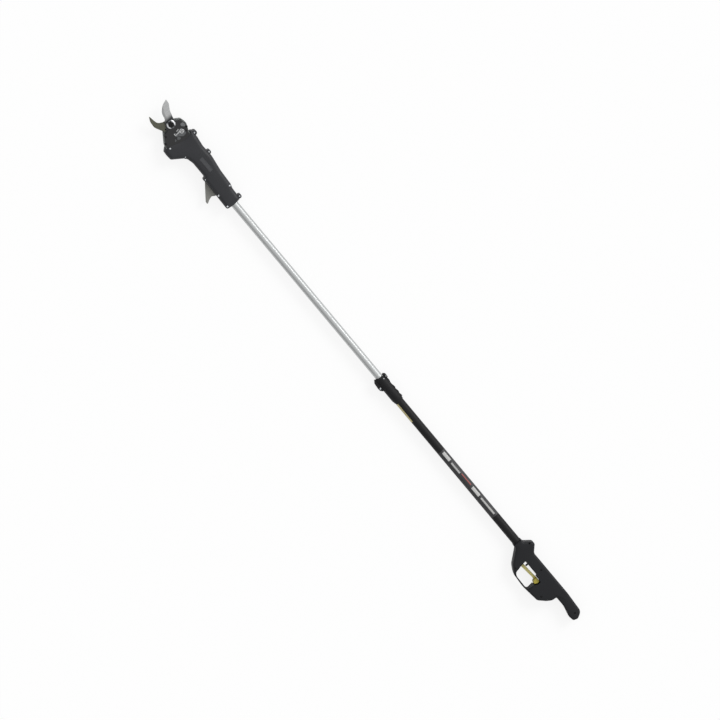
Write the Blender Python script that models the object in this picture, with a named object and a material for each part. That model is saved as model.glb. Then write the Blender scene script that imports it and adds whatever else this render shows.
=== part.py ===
"""Electric pole pruner: a battery shear head on a two-part telescopic pole with a pistol handle.

The pole's axis runs along X, with the shear head towards +X. The trigger and the hooked counter
blade are on the +Y side, and the blade turns about an upright axis (+Z), as the tool lies on its side.
Sizes are in millimetres here, and MM turns them to metres as each mesh is made.
"""
import math

import bmesh
import bpy
from mathutils import Matrix, Vector

MM = 0.001
WELD_DISTANCE = 0.000002   # in metres
FACETS = 28          # sides of the large round parts
SMALL_FACETS = 10    # sides of screws and pins
CLEAR = 0.3          # gap kept between pieces that touch
THROUGH = 100.0      # how far a cutter reaches past what it cuts

# Bevel drive between the pinion on the motor's axis and the sector on the blade's tail
GEAR_MODULE = 1.5
PINION_TEETH = 12
SECTOR_TEETH_FULL = 48
SECTOR_TEETH = 9
SECTOR_WIDTH = 14.0
FACE_WIDTH = 8.0
PINION_R = GEAR_MODULE * PINION_TEETH / 2
SECTOR_R = GEAR_MODULE * SECTOR_TEETH_FULL / 2
SECTOR_INNER_R = SECTOR_R - SECTOR_WIDTH
CONE_DISTANCE = math.hypot(PINION_R, SECTOR_R)
ADDENDUM = 0.8 * GEAR_MODULE
DEDENDUM = 1.1 * GEAR_MODULE
PINION_SHAFT_R = 5.0
BEARING_R = 11.0
BEARING_LENGTH = 10.0

# Heights in the cutting head, upwards from the drive's axis
ANVIL_THICK = 5.0
BLADE_THICK = 4.0
COVER_THICK = 3.0
ANVIL_LOW = PINION_R - CLEAR
ANVIL_HIGH = ANVIL_LOW + ANVIL_THICK
BLADE_LOW = ANVIL_HIGH + CLEAR
BLADE_HIGH = BLADE_LOW + BLADE_THICK
CASE_HIGH = BLADE_HIGH
COVER_LOW = CASE_HIGH + CLEAR
COVER_HIGH = COVER_LOW + COVER_THICK

# Thickness of the head, as much as the motor or the gear case needs
MOTOR_R = 18.5
MOTOR_GAP = 2.5      # between the motor and the shells
SHELL_WALL = 3.0
NOSE_WALL = 2.7      # of the shell over the gear case's cover
EDGE_ROUND = 9.0
HALF_THICK = max(MOTOR_R + MOTOR_GAP + SHELL_WALL, COVER_HIGH + NOSE_WALL)
BOSS_HALF = HALF_THICK - 7.0
BOLT_HEAD_THICK = 4.7
CASE_LOW = 1.0 + BOLT_HEAD_THICK + CLEAR - HALF_THICK

# Places along the head, from the end of the silver tube's socket to the pivot
HEAD_REAR = 14.0
SOCKET_DEPTH = 60.0
BOARD_LENGTH = 47.0
END_CAP_LENGTH = 9.7
MOTOR_LENGTH = 85.7
GEARBOX_LENGTH = 51.0
CASE_LENGTH = 41.0   # of the gear case behind the pinion
SOCKET_END = HEAD_REAR + SOCKET_DEPTH
BOARD_X = (SOCKET_END + 12.0, SOCKET_END + 12.0 + BOARD_LENGTH)
END_CAP_X = (BOARD_X[1] + 7.0, BOARD_X[1] + 7.0 + END_CAP_LENGTH)
MOTOR_X = (END_CAP_X[1] + CLEAR, END_CAP_X[1] + CLEAR + MOTOR_LENGTH)
GEARBOX_X = (MOTOR_X[1] + CLEAR, MOTOR_X[1] + CLEAR + GEARBOX_LENGTH)
BAY_FRONT = GEARBOX_X[1] + 1.0
PIVOT = (BAY_FRONT + CASE_LENGTH + SECTOR_R, -7.5)
BEARING_X = (PIVOT[0] - SECTOR_R - 6.0 - BEARING_LENGTH, PIVOT[0] - SECTOR_R - 6.0)

# Pole
INNER_TUBE_R = 13.0
INNER_TUBE_WALL = 1.2
INNER_TUBE_REAR = -1000.0
OUTER_TUBE_WALL = 1.5
TUBE_GAP = 0.5       # between the tubes, so that they slide
OUTER_TUBE_R = INNER_TUBE_R + TUBE_GAP + OUTER_TUBE_WALL
OUTER_TUBE_FRONT = -800.0
LEAD_R = 4.0

# Head shells, with outlines as corners (x, y, radius)
HEAD_OUTLINE = [
    (HEAD_REAR, -27, 5), (SOCKET_END - 16, -29, 14), (SOCKET_END, -34, 14), (BOARD_X[1] - 3, -37, 60),
    (MOTOR_X[0] + 42, -46, 40), (GEARBOX_X[0], -44, 40), (BAY_FRONT - 18, -49, 20),
    (BAY_FRONT + 20, -51, 8), (BAY_FRONT + 15, -36, 8), (BAY_FRONT + 12, -10, 30),
    (BAY_FRONT + 18, 14, 30), (BAY_FRONT + 33, 46, 10), (BAY_FRONT + 27, 64, 6), (BAY_FRONT + 2, 71, 14),
    (BAY_FRONT - 20, 70, 8),
    (GEARBOX_X[0] + 4, 27, 25), (MOTOR_X[0] + 62, 19.5, 30), (MOTOR_X[0] + 2, 19.5, 8),
    (END_CAP_X[0] + 2, 28, 6), (HEAD_REAR, 31, 7),
]
SIDE_BOSSES = [
    (HEAD_REAR + 8, -30, 7), (MOTOR_X[0] + 57, -46, 7.5), (BAY_FRONT + 2, -50, 9),
    (END_CAP_X[0] + 1, 22.5, 7), (GEARBOX_X[0] + 9, 25, 6.5),
]
HEAD_SCREWS = [
    (HEAD_REAR + 8, -30.5, BOSS_HALF), (HEAD_REAR + 9, 24, HALF_THICK), (SOCKET_END - 3, 24, HALF_THICK),
    (SOCKET_END - 1, -27, HALF_THICK), (MOTOR_X[0] + 57, -47.5, BOSS_HALF),
    (END_CAP_X[0] + 1, 23, BOSS_HALF), (BAY_FRONT + 2, -50.5, BOSS_HALF),
    (GEARBOX_X[0] + 9, 26, BOSS_HALF),
]
NOSE_SCREW = (BAY_FRONT + 15, 47)
SCREW_R = 1.6
SCREW_HEAD_R = 3.1
SCREW_HEAD_DEPTH = 2.4
SCREW_SINK = 0.6     # how far a head lies under its face
SCREW_REACH = 13.0   # how far the screws go below the parting plane
BUMP_SCREW_SINK = 4.0    # of the handle's front screw, on the round of its bump
BADGE_X = (MOTOR_X[0] + 3, MOTOR_X[0] + 60)
BADGE_Y = (-19.0, -5.0)
BADGE_THICK = 0.9
CONNECTOR_X = (BOARD_X[0] + 6.0, BOARD_X[0] + 24.0)
CONNECTOR_HALF = (8.0, 6.0)
BOARD_THICK = 1.6

# Branch hook
HOOK_THICK = 6.0
HOOK_ROOT_Y = 19.0
HOOK_OUTLINE = [
    (SOCKET_END, HOOK_ROOT_Y, 2), (SOCKET_END, 33, 3), (SOCKET_END + 7, 43, 6), (SOCKET_END + 2, 58, 10),
    (SOCKET_END - 4.5, 68, 2), (SOCKET_END - 2, 71, 2), (SOCKET_END + 5, 70, 3), (SOCKET_END + 30, 51.5, 20),
    (SOCKET_END + 60, 29, 3), (SOCKET_END + 60, HOOK_ROOT_Y, 2),
]

# Cutting head: the blades' corners are counted from the pivot
LAND_R = 18.0        # of the case's round land under the counter blade
PIVOT_BOLT_R = 6.0
BOLT_HEAD_R = 10.0
WASHER_R = 15.0
WASHER_THICK = 1.6
NUT_R = 11.0
NUT_THICK = 5.5
BUSH_WALL = 2.0
CASE_OUTLINE = [
    (BAY_FRONT + CLEAR, -38, 2), (BAY_FRONT + 18, -39, 5), (PIVOT[0] - 29, -51, 9), (PIVOT[0] - 8, -45, 10),
    (PIVOT[0] + 6, -23, 8), (PIVOT[0] + 12, -6, 7), (PIVOT[0] + 1, 23, 9), (BAY_FRONT + 30, 60, 4),
    (BAY_FRONT + CLEAR, 62, 3),
]
COVER_INSET = 0.6
ANVIL_OUTLINE = [
    (65, 39, 1.2), (66, 41, 1.2), (51, 48.5, 20), (27, 50.5, 25), (7, 40.5, 12), (-8, 32.5, 5),
    (-8.5, 22.5, 4), (-16, 4.5, 12), (-13, -12.5, 12), (7, -14.5, 10), (20, -0.5, 12), (21, 15.5, 25),
    (31, 33.5, 20),
]
BLADE_BACK = [(76.5, -41.5, 1.5), (60, -40, 14), (39, -27.5, 25), (8, -18.5, 14), (-17, -10.5, 10)]
BLADE_EDGE = [(7, 16.5, 8), (16, 14.5, 2), (27, 4.5, 14), (49, 0, 30), (68, -18.5, 40)]
ANVIL_SCREW = (PIVOT[0] - 3, 17.5)
ANVIL_SCREW_R = 2.5
ANVIL_SCREW_LOW = -7.0
SECTOR_SCREW_R = 1.8
SECTOR_SCREW_HEAD_R = 2.9
SECTOR_SCREW_HEAD_DEPTH = 1.2
SCREW_BELOW = 0.2    # how far a flat screw lies under its face
COVER_SCREWS = [(PIVOT[0] - 39, -42.5), (PIVOT[0] - 40.5, 48), (PIVOT[0] - 22, 33)]
COVER_SCREW_PROUD = 1.6
COVER_SCREW_LOW = -2.0

# Clamp between the tubes
COLLAR_WALL = 4.0
COLLAR_R = OUTER_TUBE_R + COLLAR_WALL
COLLAR_X = (OUTER_TUBE_FRONT - 74.0, OUTER_TUBE_FRONT + 32.0)
COLLAR_MOUTH = 6.0
COLLAR_FLARE = 4.0    # how much wider the bore is at the mouth
LEVER_PIN = (OUTER_TUBE_FRONT + 18.0, -COLLAR_R - 1.5)
LEVER_PIN_R = 2.0
LEVER_EYE_R = 4.0
LEVER_THICK = 2.6
LEVER_HALF_WIDTH = 8.0
LEVER_LENGTH = 90.0
LEVER_END = LEVER_PIN[0] - LEVER_LENGTH
LEVER_STEPS = 3       # for the finger, each rising slowly to the rear
LEVER_STEP_PITCH = 20.0
LEVER_STEP_RISE = 13.0
LEVER_STEP_HEIGHT = 2.2
EAR_THICK = 4.0
EAR_HALF_WIDTH = LEVER_HALF_WIDTH + CLEAR + EAR_THICK
PAD_HALF = (6.0, 7.0)
CLAMP_BOLT = (OUTER_TUBE_FRONT - 4.0, COLLAR_R + 3.5)
BOLT_EAR_HALF = 10.0
BOLT_EAR_Y = COLLAR_R + 10.0
CLAMP_BOLT_TOP = 12.0
CLAMP_SLIT = 1.2
STRIP_X = (COLLAR_X[0] - 90.0, COLLAR_X[0] - 10.0)
STRIP_ANGLES = (-35.0, 50.0)
STRIP_THICK = 0.4

# Handle: its corners are counted backwards from its front
HANDLE_FRONT = -1520.0
HANDLE_SOCKET_DEPTH = 41.0
HANDLE_SOCKET_REAR = HANDLE_FRONT - HANDLE_SOCKET_DEPTH
HANDLE_WALL = 3.0
HANDLE_EDGE_ROUND = 7.0
GRIP_HALF_THICK = HALF_THICK - 5.0
GRIP_SLOPE_X = (-255.0, -228.0)    # where the grip's own thickness ends and the full one starts
SLEEVE_HALF = OUTER_TUBE_R + 3.5
SPINE_HALF = 20.4
HANDLE_OUTLINE = [
    (0, -SLEEVE_HALF, 3), (-11, -SLEEVE_HALF, 8), (-37, -49, 11), (-66, -SPINE_HALF, 14),
    (-250, -SPINE_HALF - 0.5, 80), (-328, -16, 22), (-342, 8, 12), (-336, 24, 8), (-318, 27, 12),
    (-280, 18, 50), (-235, 18, 4), (-232, 32, 20), (-204, 77, 12), (-130, 83, 80), (-80, 79, 40),
    (-48, 64, 40), (-20, 34, 20), (-9, SLEEVE_HALF, 6), (0, SLEEVE_HALF, 3),
]
FINGER_OPENING = [
    (-67, SPINE_HALF, 2), (-71, 50, 30), (-79, 76.5, 9), (-142, 77, 7), (-147, 56, 25),
    (-137, SPINE_HALF, 2),
]
GRIP_CAVITY = [(-220, -16.4, 2), (-312, -13, 6), (-329, 8, 8), (-318, 16, 6), (-220, 14, 2)]
WEB_CAVITY = [(-220, 25, 3), (-205, 48, 4), (-189, 48, 3), (-186, 72, 5), (-166, 73, 5), (-166, 25, 3)]
GUARD_X = (-150.0, -77.0)
GUARD_Y = 66.0
GUARD_HALF_WIDTH = 12.0
HANDLE_SCREWS = [(-28, -30), (-63, 62), (-126, -2), (-198, 56), (-318, 4)]
TRIGGER_PIVOT = (HANDLE_FRONT - 150.0, 32.0)
TRIGGER_OUTLINE = [
    (-7, -6, 2), (13, -6, 2), (22, -4.5, 6), (77, -1, 2), (77.5, 10.5, 3), (20, 5, 8), (9, 6, 3), (6, 14, 2),
    (-2, 15, 2), (-7, 6, 2),
]
TRIGGER_SLOT = [(-11, -9, 3), (20, -9, 1), (20, 18, 1), (-6, 18, 3), (-11, 8, 3)]
TRIGGER_HALF_WIDTH = 4.5
TRIGGER_PIN_R = 2.0
PIN_HALF = 14.0
PLUNGER_X = TRIGGER_PIVOT[0] + 65.0
PLUNGER_R = 3.2
PLUNGER_TIP_Y = 29.3
PLUNGER_LENGTH = 17.5
SWITCH_HALF = (13.0, 6.0)
SWITCH_LOW_Y = -12.0
SPRING_FLOOR_Y = -9.5
SPRING_COIL_R = 2.4
SPRING_WIRE_R = 0.5
SPRING_TURNS = 7
TERMINAL_X = (HANDLE_SOCKET_REAR - 27.0, HANDLE_SOCKET_REAR - 7.0)
TERMINAL_HALF = 8.0
INLET_R = 6.5
INLET_Y = 6.0
INLET_X = (-342.0, -324.0)
INLET_HOLE_R = 2.5
INLET_HOLE_DEPTH = 5.0


def clear_scene():
    for old in list(bpy.data.objects):
        bpy.data.objects.remove(old, do_unlink=True)


def collection(name):
    made = bpy.data.collections.new(name)
    bpy.context.scene.collection.children.link(made)
    return made


clear_scene()
PARTS = collection("electric_pole_pruner")
CUTTERS = collection("cutters")
TOOL_FRAME = bpy.data.objects.new("tool_frame", None)
PARTS.objects.link(TOOL_FRAME)


# Outlines

def rounded(corners, inset=0.0, arc_step=30.0, full_count=False):
    """Outline through corners (x, y, radius), each turned by an arc, moved inward by inset.

    With full_count an arc that has shrunk to a point still gives all its points, for a loft.
    """
    points = [Vector((x, y)) for x, y, _ in corners]
    radii = [radius for _, _, radius in corners]
    area = sum(a.cross(b) for a, b in zip(points, points[1:] + points[:1]))
    if area < 0:
        points.reverse()
        radii.reverse()
    outline = []
    for i, corner in enumerate(points):
        before = (corner - points[i - 1]).normalized()
        after = (points[(i + 1) % len(points)] - corner).normalized()
        normal_before = Vector((-before.y, before.x))
        normal_after = Vector((-after.y, after.x))
        moved = corner + (normal_before + normal_after) * inset / (1 + normal_before.dot(normal_after))
        side = 1 if before.cross(after) > 0 else -1
        radius = max(radii[i] - side * inset, 0.0) if radii[i] > 0 else 0.0
        turn = before.angle(after)
        reach = radius * math.tan(turn / 2)
        steps = max(1, math.ceil(math.degrees(turn) / arc_step))
        if reach < 0.05:
            copies = steps + 1 if full_count and radii[i] > 0 else 1
            outline += [tuple(moved)] * copies
            continue
        start = moved - before * reach
        centre = start + normal_before * radius * side
        for k in range(steps + 1):
            spoke = start - centre
            spoke.rotate(Matrix.Rotation(side * turn * k / steps, 2))
            outline.append(tuple(centre + spoke))
    return outline


def around(centre, radius, degrees):
    """Point at a radius and an angle from +X about a centre."""
    angle = math.radians(degrees)
    return centre[0] + radius * math.cos(angle), centre[1] + radius * math.sin(angle)


def arc(centre, radius, start, end, steps):
    return [around(centre, radius, start + (end - start) * k / steps) for k in range(steps + 1)]


def placed(corners, x, y=0.0):
    """The same corners, counted from a point of the tool."""
    return [(x + corner_x, y + corner_y, radius) for corner_x, corner_y, radius in corners]


def circle(centre, radius, facets=SMALL_FACETS):
    return arc(centre, radius, 0, 360 - 360 / facets, facets - 1)


# Mesh makers

def flat_mesh(name, outlines, low, high):
    """Closed mesh of flat outlines, filled, between two heights."""
    curve = bpy.data.curves.new(name, "CURVE")
    curve.dimensions = "2D"
    curve.fill_mode = "BOTH"
    curve.extrude = (high - low) / 2 * MM
    for outline in outlines:
        spline = curve.splines.new("POLY")
        spline.points.add(len(outline) - 1)
        spline.use_cyclic_u = True
        for point, (x, y) in zip(spline.points, outline):
            point.co = (x * MM, y * MM, 0, 1)
    guide = bpy.data.objects.new(name + "_curve", curve)
    PARTS.objects.link(guide)
    evaluated = guide.evaluated_get(bpy.context.evaluated_depsgraph_get())
    mesh = bpy.data.meshes.new_from_object(evaluated)
    bpy.data.objects.remove(guide, do_unlink=True)
    shape = bmesh.new()
    shape.from_mesh(mesh)
    bmesh.ops.remove_doubles(shape, verts=shape.verts, dist=1e-7)
    bmesh.ops.dissolve_limit(shape, angle_limit=1e-4, verts=shape.verts, edges=shape.edges)
    bmesh.ops.recalc_face_normals(shape, faces=shape.faces)
    bmesh.ops.translate(shape, verts=shape.verts, vec=(0, 0, (low + high) / 2 * MM))
    shape.to_mesh(mesh)
    shape.free()
    return mesh


def box_mesh(name, low, high):
    mesh = bpy.data.meshes.new(name)
    shape = bmesh.new()
    size = Vector(high) - Vector(low)
    middle = (Vector(high) + Vector(low)) / 2
    bmesh.ops.create_cube(shape, size=1, matrix=Matrix.Translation(middle * MM) @ Matrix.Diagonal(
        (size.x * MM, size.y * MM, size.z * MM, 1)))
    shape.to_mesh(mesh)
    shape.free()
    return mesh


def swept_mesh(name, sections, section_closed, ring_closed):
    """Mesh between like sections; ends are capped where the ring isn't closed."""
    count = len(sections[0])
    shape = bmesh.new()
    rows = [[shape.verts.new(Vector(p) * MM) for p in section] for section in sections]
    pairs = list(zip(rows, rows[1:]))
    if ring_closed:
        pairs.append((rows[-1], rows[0]))
    for row, following in pairs:
        for k in range(count if section_closed else count - 1):
            after = (k + 1) % count
            shape.faces.new((row[k], row[after], following[after], following[k]))
    if not ring_closed:
        shape.faces.new(rows[0])
        shape.faces.new(rows[-1])
    bmesh.ops.remove_doubles(shape, verts=shape.verts, dist=1e-7)
    bmesh.ops.recalc_face_normals(shape, faces=shape.faces)
    mesh = bpy.data.meshes.new(name)
    shape.to_mesh(mesh)
    shape.free()
    return mesh


def domed_mesh(name, corners, low, high, edge, inset=0.0, domes=(True, True), steps=3):
    """Outline carried from low to high, drawn in along a quarter circle of radius edge at its ends."""
    angles = [math.pi / 2 * k / steps for k in range(steps + 1)]
    levels = [(high - edge * (1 - math.sin(a)), edge * (1 - math.cos(a))) for a in angles]
    if not domes[1]:
        levels = [(high, 0)]
    if domes[0]:
        lower = [(low + edge * (1 - math.sin(a)), edge * (1 - math.cos(a))) for a in reversed(angles)]
        levels = lower + levels
    else:
        levels = [(low, 0)] + levels
    sections = [[(x, y, z) for x, y in rounded(corners, inset + drawn_in, full_count=True)]
                for z, drawn_in in levels]
    return swept_mesh(name, sections, section_closed=True, ring_closed=False)


def half_mesh(name, corners, side, edge):
    """Upper (+1) or lower (-1) half of a pair of shells, domed on its outer side."""
    if side > 0:
        return domed_mesh(name, corners, CLEAR / 2, HALF_THICK, edge, domes=(False, True))
    return domed_mesh(name, corners, -HALF_THICK, -CLEAR / 2, edge, domes=(True, False))


# Objects, finishes and cuts

def finish(name, colour, roughness, metallic):
    """Principled finish from an sRGB hex colour."""
    made = bpy.data.materials.new(name + "_finish")
    made.use_nodes = True
    shader = made.node_tree.nodes["Principled BSDF"]
    channels = [int(colour[k:k + 2], 16) / 255 for k in (1, 3, 5)]
    linear = [c / 12.92 if c <= 0.04045 else ((c + 0.055) / 1.055) ** 2.4 for c in channels]
    shader.inputs["Base Color"].default_value = (*linear, 1)
    shader.inputs["Roughness"].default_value = roughness
    shader.inputs["Metallic"].default_value = metallic
    made.diffuse_color = (*linear, 1)
    return made


BLACK_PLASTIC = ("#2f3033", 0.55, 0.0)
DARK_PLASTIC = ("#242426", 0.5, 0.0)
BLACK_TUBE = ("#29292b", 0.35, 0.3)
SILVER = ("#c3c6c6", 0.3, 1.0)
BLADE_STEEL = ("#a6a8a8", 0.35, 1.0)
DARK_STEEL = ("#55554a", 0.4, 0.9)
BRIGHT_STEEL = ("#b9bcc0", 0.25, 1.0)
CAST_GREY = ("#5f6062", 0.5, 0.7)
BLACK_CAST = ("#333335", 0.5, 0.4)
HOOK_GREY = ("#7c7c76", 0.5, 0.2)
YELLOW = ("#b0a540", 0.45, 0.0)
BRONZE = ("#a5834d", 0.35, 0.9)
BOARD_GREEN = ("#2c5a38", 0.5, 0.0)
RUBBER = ("#1c1c1d", 0.8, 0.0)


def part(name, mesh, look, parent=None, smooth=False):
    """Object for one piece, on the tool's frame or on the empty of its joint."""
    made = bpy.data.objects.new(name, mesh)
    mesh.materials.clear()
    mesh.materials.append(finish(name, *look))
    PARTS.objects.link(made)
    made.parent = parent or TOOL_FRAME
    if parent:
        made.matrix_parent_inverse = Matrix.Translation(parent.location).inverted()
    if smooth:
        mesh.shade_smooth()
        mesh.set_sharp_from_angle(angle=math.radians(35))
    return made


def cutter(name, mesh):
    made = bpy.data.objects.new(name, mesh)
    CUTTERS.objects.link(made)
    made.parent = TOOL_FRAME
    made.hide_render = True
    made.display_type = "WIRE"
    return made


def slab(name, start, end):
    """Cutter that takes everything between two places along the tool."""
    return cutter(name, box_mesh(name, (start, -THROUGH, -THROUGH), (end, THROUGH, THROUGH)))


def boolean(target, other, operation):
    change = target.modifiers.new(operation.lower() + "_" + other.name, "BOOLEAN")
    change.object = other
    change.operation = operation
    change.solver = "EXACT"


def cut(target, *others):
    """Cuts others from target, and welds the points that a cut leaves doubled."""
    for other in others:
        boolean(target, other, "DIFFERENCE")
        weld = target.modifiers.new("weld_" + other.name, "WELD")
        weld.merge_threshold = WELD_DISTANCE


def join(target, *others):
    for other in others:
        boolean(target, other, "UNION")


AXES = {
    "X": Matrix.Rotation(math.radians(90), 4, "Y"),
    "Y": Matrix.Rotation(math.radians(-90), 4, "X"),
    "Z": Matrix.Identity(4),
}


def turned_mesh(name, profile, axis, centre, facets, ring):
    """Turned shape: profile points are (radius, distance along the axis); ring if it has a bore."""
    turns = [Matrix.Rotation(2 * math.pi * k / facets, 4, "Z") for k in range(facets)]
    place = Matrix.Translation(Vector(centre)) @ AXES[axis]
    sections = [[tuple(place @ (turn @ Vector((radius, 0, along)))) for radius, along in profile]
                for turn in turns]
    return swept_mesh(name, sections, section_closed=ring, ring_closed=True)


def ring_profile(inner, outer, start, end):
    return [(inner, start), (outer, start), (outer, end), (inner, end)]


def rod_profile(radius, start, end):
    return [(0, start), (radius, start), (radius, end), (0, end)]


def rod(name, radius, start, end, axis, centre, facets=SMALL_FACETS):
    return turned_mesh(name, rod_profile(radius, start, end), axis, centre, facets, ring=False)


def joint_empty(name, x, y, z=0.0):
    made = bpy.data.objects.new(name, None)
    PARTS.objects.link(made)
    made.parent = TOOL_FRAME
    made.location = (x * MM, y * MM, z * MM)
    return made


# Fasteners

def shell_screw(name, x, y, top, bottom, look=BRIGHT_STEEL):
    """Pan-head screw from top down to bottom, and the stepped hole that it sits in."""
    head_low = top - SCREW_HEAD_DEPTH
    profile = [(0, bottom), (SCREW_R, bottom), (SCREW_R, head_low), (SCREW_HEAD_R, head_low),
               (SCREW_HEAD_R, top), (0, top)]
    part(name, turned_mesh(name, profile, "Z", (x, y, 0), SMALL_FACETS, False), look)
    hole_top = top + HALF_THICK
    hole_profile = [(0, bottom - CLEAR), (SCREW_R + CLEAR, bottom - CLEAR),
                    (SCREW_R + CLEAR, head_low - CLEAR), (SCREW_HEAD_R + CLEAR, head_low - CLEAR),
                    (SCREW_HEAD_R + CLEAR, hole_top), (0, hole_top)]
    hole = cutter(name + "_hole", turned_mesh(name + "_hole", hole_profile, "Z", (x, y, 0),
                                              SMALL_FACETS, False))
    return hole


# Head

def head_bay():
    """Room for the motor, gearbox and board: the head outline less its wall, with screw posts left."""
    bay = cutter("motor_bay", domed_mesh("motor_bay", HEAD_OUTLINE, SHELL_WALL - HALF_THICK,
                                         HALF_THICK - SHELL_WALL, EDGE_ROUND - SHELL_WALL, SHELL_WALL,
                                         steps=2))
    cut(bay, slab("bay_rear_stop", HEAD_REAR - THROUGH, SOCKET_END + 4),
        slab("bay_front_stop", BAY_FRONT + 1, BAY_FRONT + THROUGH))
    for k, (x, y, _) in enumerate(HEAD_SCREWS[4:6] + HEAD_SCREWS[7:]):
        post = f"bay_post_{k + 1}"
        cut(bay, cutter(post, rod(post, SCREW_HEAD_R + 2, -THROUGH, THROUGH, "Z", (x, y, 0))))
    return bay


def head_shells():
    holes = []
    for k, (x, y, face) in enumerate(HEAD_SCREWS):
        holes.append(shell_screw(f"head_screw_{k + 1}", x, y, face - SCREW_SINK, -SCREW_REACH))
    nose_hole = shell_screw("nose_screw", *NOSE_SCREW, HALF_THICK + 1, 8)
    holes.append(nose_hole)
    bay = head_bay()
    nose_pocket = cutter("nose_pocket", flat_mesh(
        "nose_pocket", [rounded(CASE_OUTLINE, inset=-CLEAR)], CASE_LOW - CLEAR, COVER_HIGH + CLEAR))
    tube_bore = cutter("tube_bore", rod("tube_bore", INNER_TUBE_R + CLEAR, HEAD_REAR - 5,
                                        SOCKET_END + CLEAR, "X", (0, 0, 0), FACETS))
    lead_bore = cutter("head_lead_bore", rod("head_lead_bore", LEAD_R + 3, SOCKET_END - 1, SOCKET_END + 6,
                                             "X", (0, 0, 0), 16))
    hook_slot = cutter("hook_slot", flat_mesh(
        "hook_slot", [rounded(HOOK_OUTLINE, inset=-CLEAR)], -HOOK_THICK / 2 - CLEAR,
        HOOK_THICK / 2 + CLEAR))
    badge_pocket = cutter("badge_pocket", box_mesh(
        "badge_pocket", (BADGE_X[0] - CLEAR, BADGE_Y[0] - CLEAR, HALF_THICK - BADGE_THICK),
        (BADGE_X[1] + CLEAR, BADGE_Y[1] + CLEAR, HALF_THICK + 5)))
    for name, side in (("head_shell_upper", 1), ("head_shell_lower", -1)):
        shell = part(name, half_mesh(name, HEAD_OUTLINE, side, EDGE_ROUND), BLACK_PLASTIC)
        for k, (x, y, radius) in enumerate(SIDE_BOSSES):
            boss = f"{name}_boss_{k + 1}"
            ends = sorted((side * CLEAR / 2, side * BOSS_HALF))
            join(shell, cutter(boss, rod(boss, radius, *ends, "Z", (x, y, 0), 20)))
        cut(shell, bay, nose_pocket, tube_bore, lead_bore, hook_slot, *holes)
        if side > 0:
            cut(shell, badge_pocket)
    part("badge_plate", box_mesh("badge_plate", (BADGE_X[0], BADGE_Y[0], HALF_THICK - BADGE_THICK + CLEAR),
                                 (BADGE_X[1], BADGE_Y[1], HALF_THICK + CLEAR)), CAST_GREY)
    return nose_hole


def branch_hook():
    hook = part("branch_hook", flat_mesh("branch_hook", [rounded(HOOK_OUTLINE)], -HOOK_THICK / 2,
                                         HOOK_THICK / 2), HOOK_GREY)
    cut(hook, cutter("hook_tube_relief", rod("hook_tube_relief", INNER_TUBE_R + 2 * CLEAR, HEAD_REAR,
                                             SOCKET_END + 70, "X", (0, 0, 0), FACETS)))


# Cutting head

def gear_case(nose_hole):
    """Casting that carries the pivot, the counter blade and the pinion's bearing."""
    case = part("gear_case", flat_mesh("gear_case", [rounded(CASE_OUTLINE)], CASE_LOW, CASE_HIGH),
                BLACK_CAST)
    sweep_r = SECTOR_R + ADDENDUM + 1.5
    sweep_low = PINION_R - ADDENDUM - 2.0
    sweep = cutter("sector_sweep", rod("sector_sweep", sweep_r, sweep_low, CASE_HIGH + 5, "Z",
                                       (*PIVOT, 0), FACETS))
    front = cutter("blade_mouth", box_mesh(
        "blade_mouth", (PIVOT[0] - LAND_R + 2, PIVOT[1] - 60, ANVIL_LOW - CLEAR),
        (PIVOT[0] + 60, PIVOT[1] + 60, CASE_HIGH + 5)))
    land = cutter("pivot_land", rod("pivot_land", LAND_R, -THROUGH, ANVIL_LOW - CLEAR, "Z", (*PIVOT, 0), 24))
    cut(sweep, land)
    pinion_top = PINION_R + ADDENDUM + 1.2
    pinion_rear = PIVOT[0] - SECTOR_R - 3
    pinion_room = cutter("pinion_room", rod("pinion_room", pinion_top, pinion_rear, pinion_rear + 16,
                                            "X", (0, PIVOT[1], 0), 24))
    bearing_bore = cutter("bearing_bore", rod("bearing_bore", BEARING_R + CLEAR, BEARING_X[0] - CLEAR,
                                              pinion_rear + 1, "X", (0, PIVOT[1], 0), 24))
    shaft_bore = cutter("shaft_bore", rod("shaft_bore", PINION_SHAFT_R + 1, BAY_FRONT - 5,
                                          BEARING_X[0] + 1, "X", (0, PIVOT[1], 0), 24))
    bolt_hole = cutter("bolt_hole", rod("bolt_hole", PIVOT_BOLT_R + CLEAR, CASE_LOW - 5, CASE_HIGH,
                                        "Z", (*PIVOT, 0), 20))
    anvil_hole = cutter("anvil_screw_hole", rod("anvil_screw_hole", ANVIL_SCREW_R + CLEAR,
                                                ANVIL_SCREW_LOW - 1, 30, "Z", (*ANVIL_SCREW, 0)))
    cut(case, sweep, front, pinion_room, bearing_bore, shaft_bore, bolt_hole, anvil_hole, nose_hole)
    cover = part("gear_case_cover", flat_mesh("gear_case_cover", [rounded(CASE_OUTLINE, inset=COVER_INSET)],
                                              COVER_LOW, COVER_HIGH), CAST_GREY)
    cut(cover, cutter("cover_front_clear", flat_mesh("cover_front_clear", [rounded([
        (PIVOT[0] - 8, PIVOT[1] + 16, 3), (PIVOT[0] + 40, PIVOT[1] + 16, 3),
        (PIVOT[0] + 40, PIVOT[1] + 60, 3), (PIVOT[0] - 22, PIVOT[1] + 60, 3)])],
        COVER_LOW - 5, COVER_HIGH + 5)))
    cut(cover, bolt_hole_in_cover(), nose_hole)
    for k, (x, y) in enumerate(COVER_SCREWS):
        hole = shell_screw(f"cover_screw_{k + 1}", x, y, COVER_HIGH + COVER_SCREW_PROUD, COVER_SCREW_LOW)
        cut(cover, hole)
        cut(case, hole)
    return anvil_hole


def bolt_hole_in_cover():
    return cutter("cover_bolt_hole", rod("cover_bolt_hole", PIVOT_BOLT_R + CLEAR, COVER_LOW - 5,
                                         COVER_HIGH + 5, "Z", (*PIVOT, 0), 20))


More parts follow.
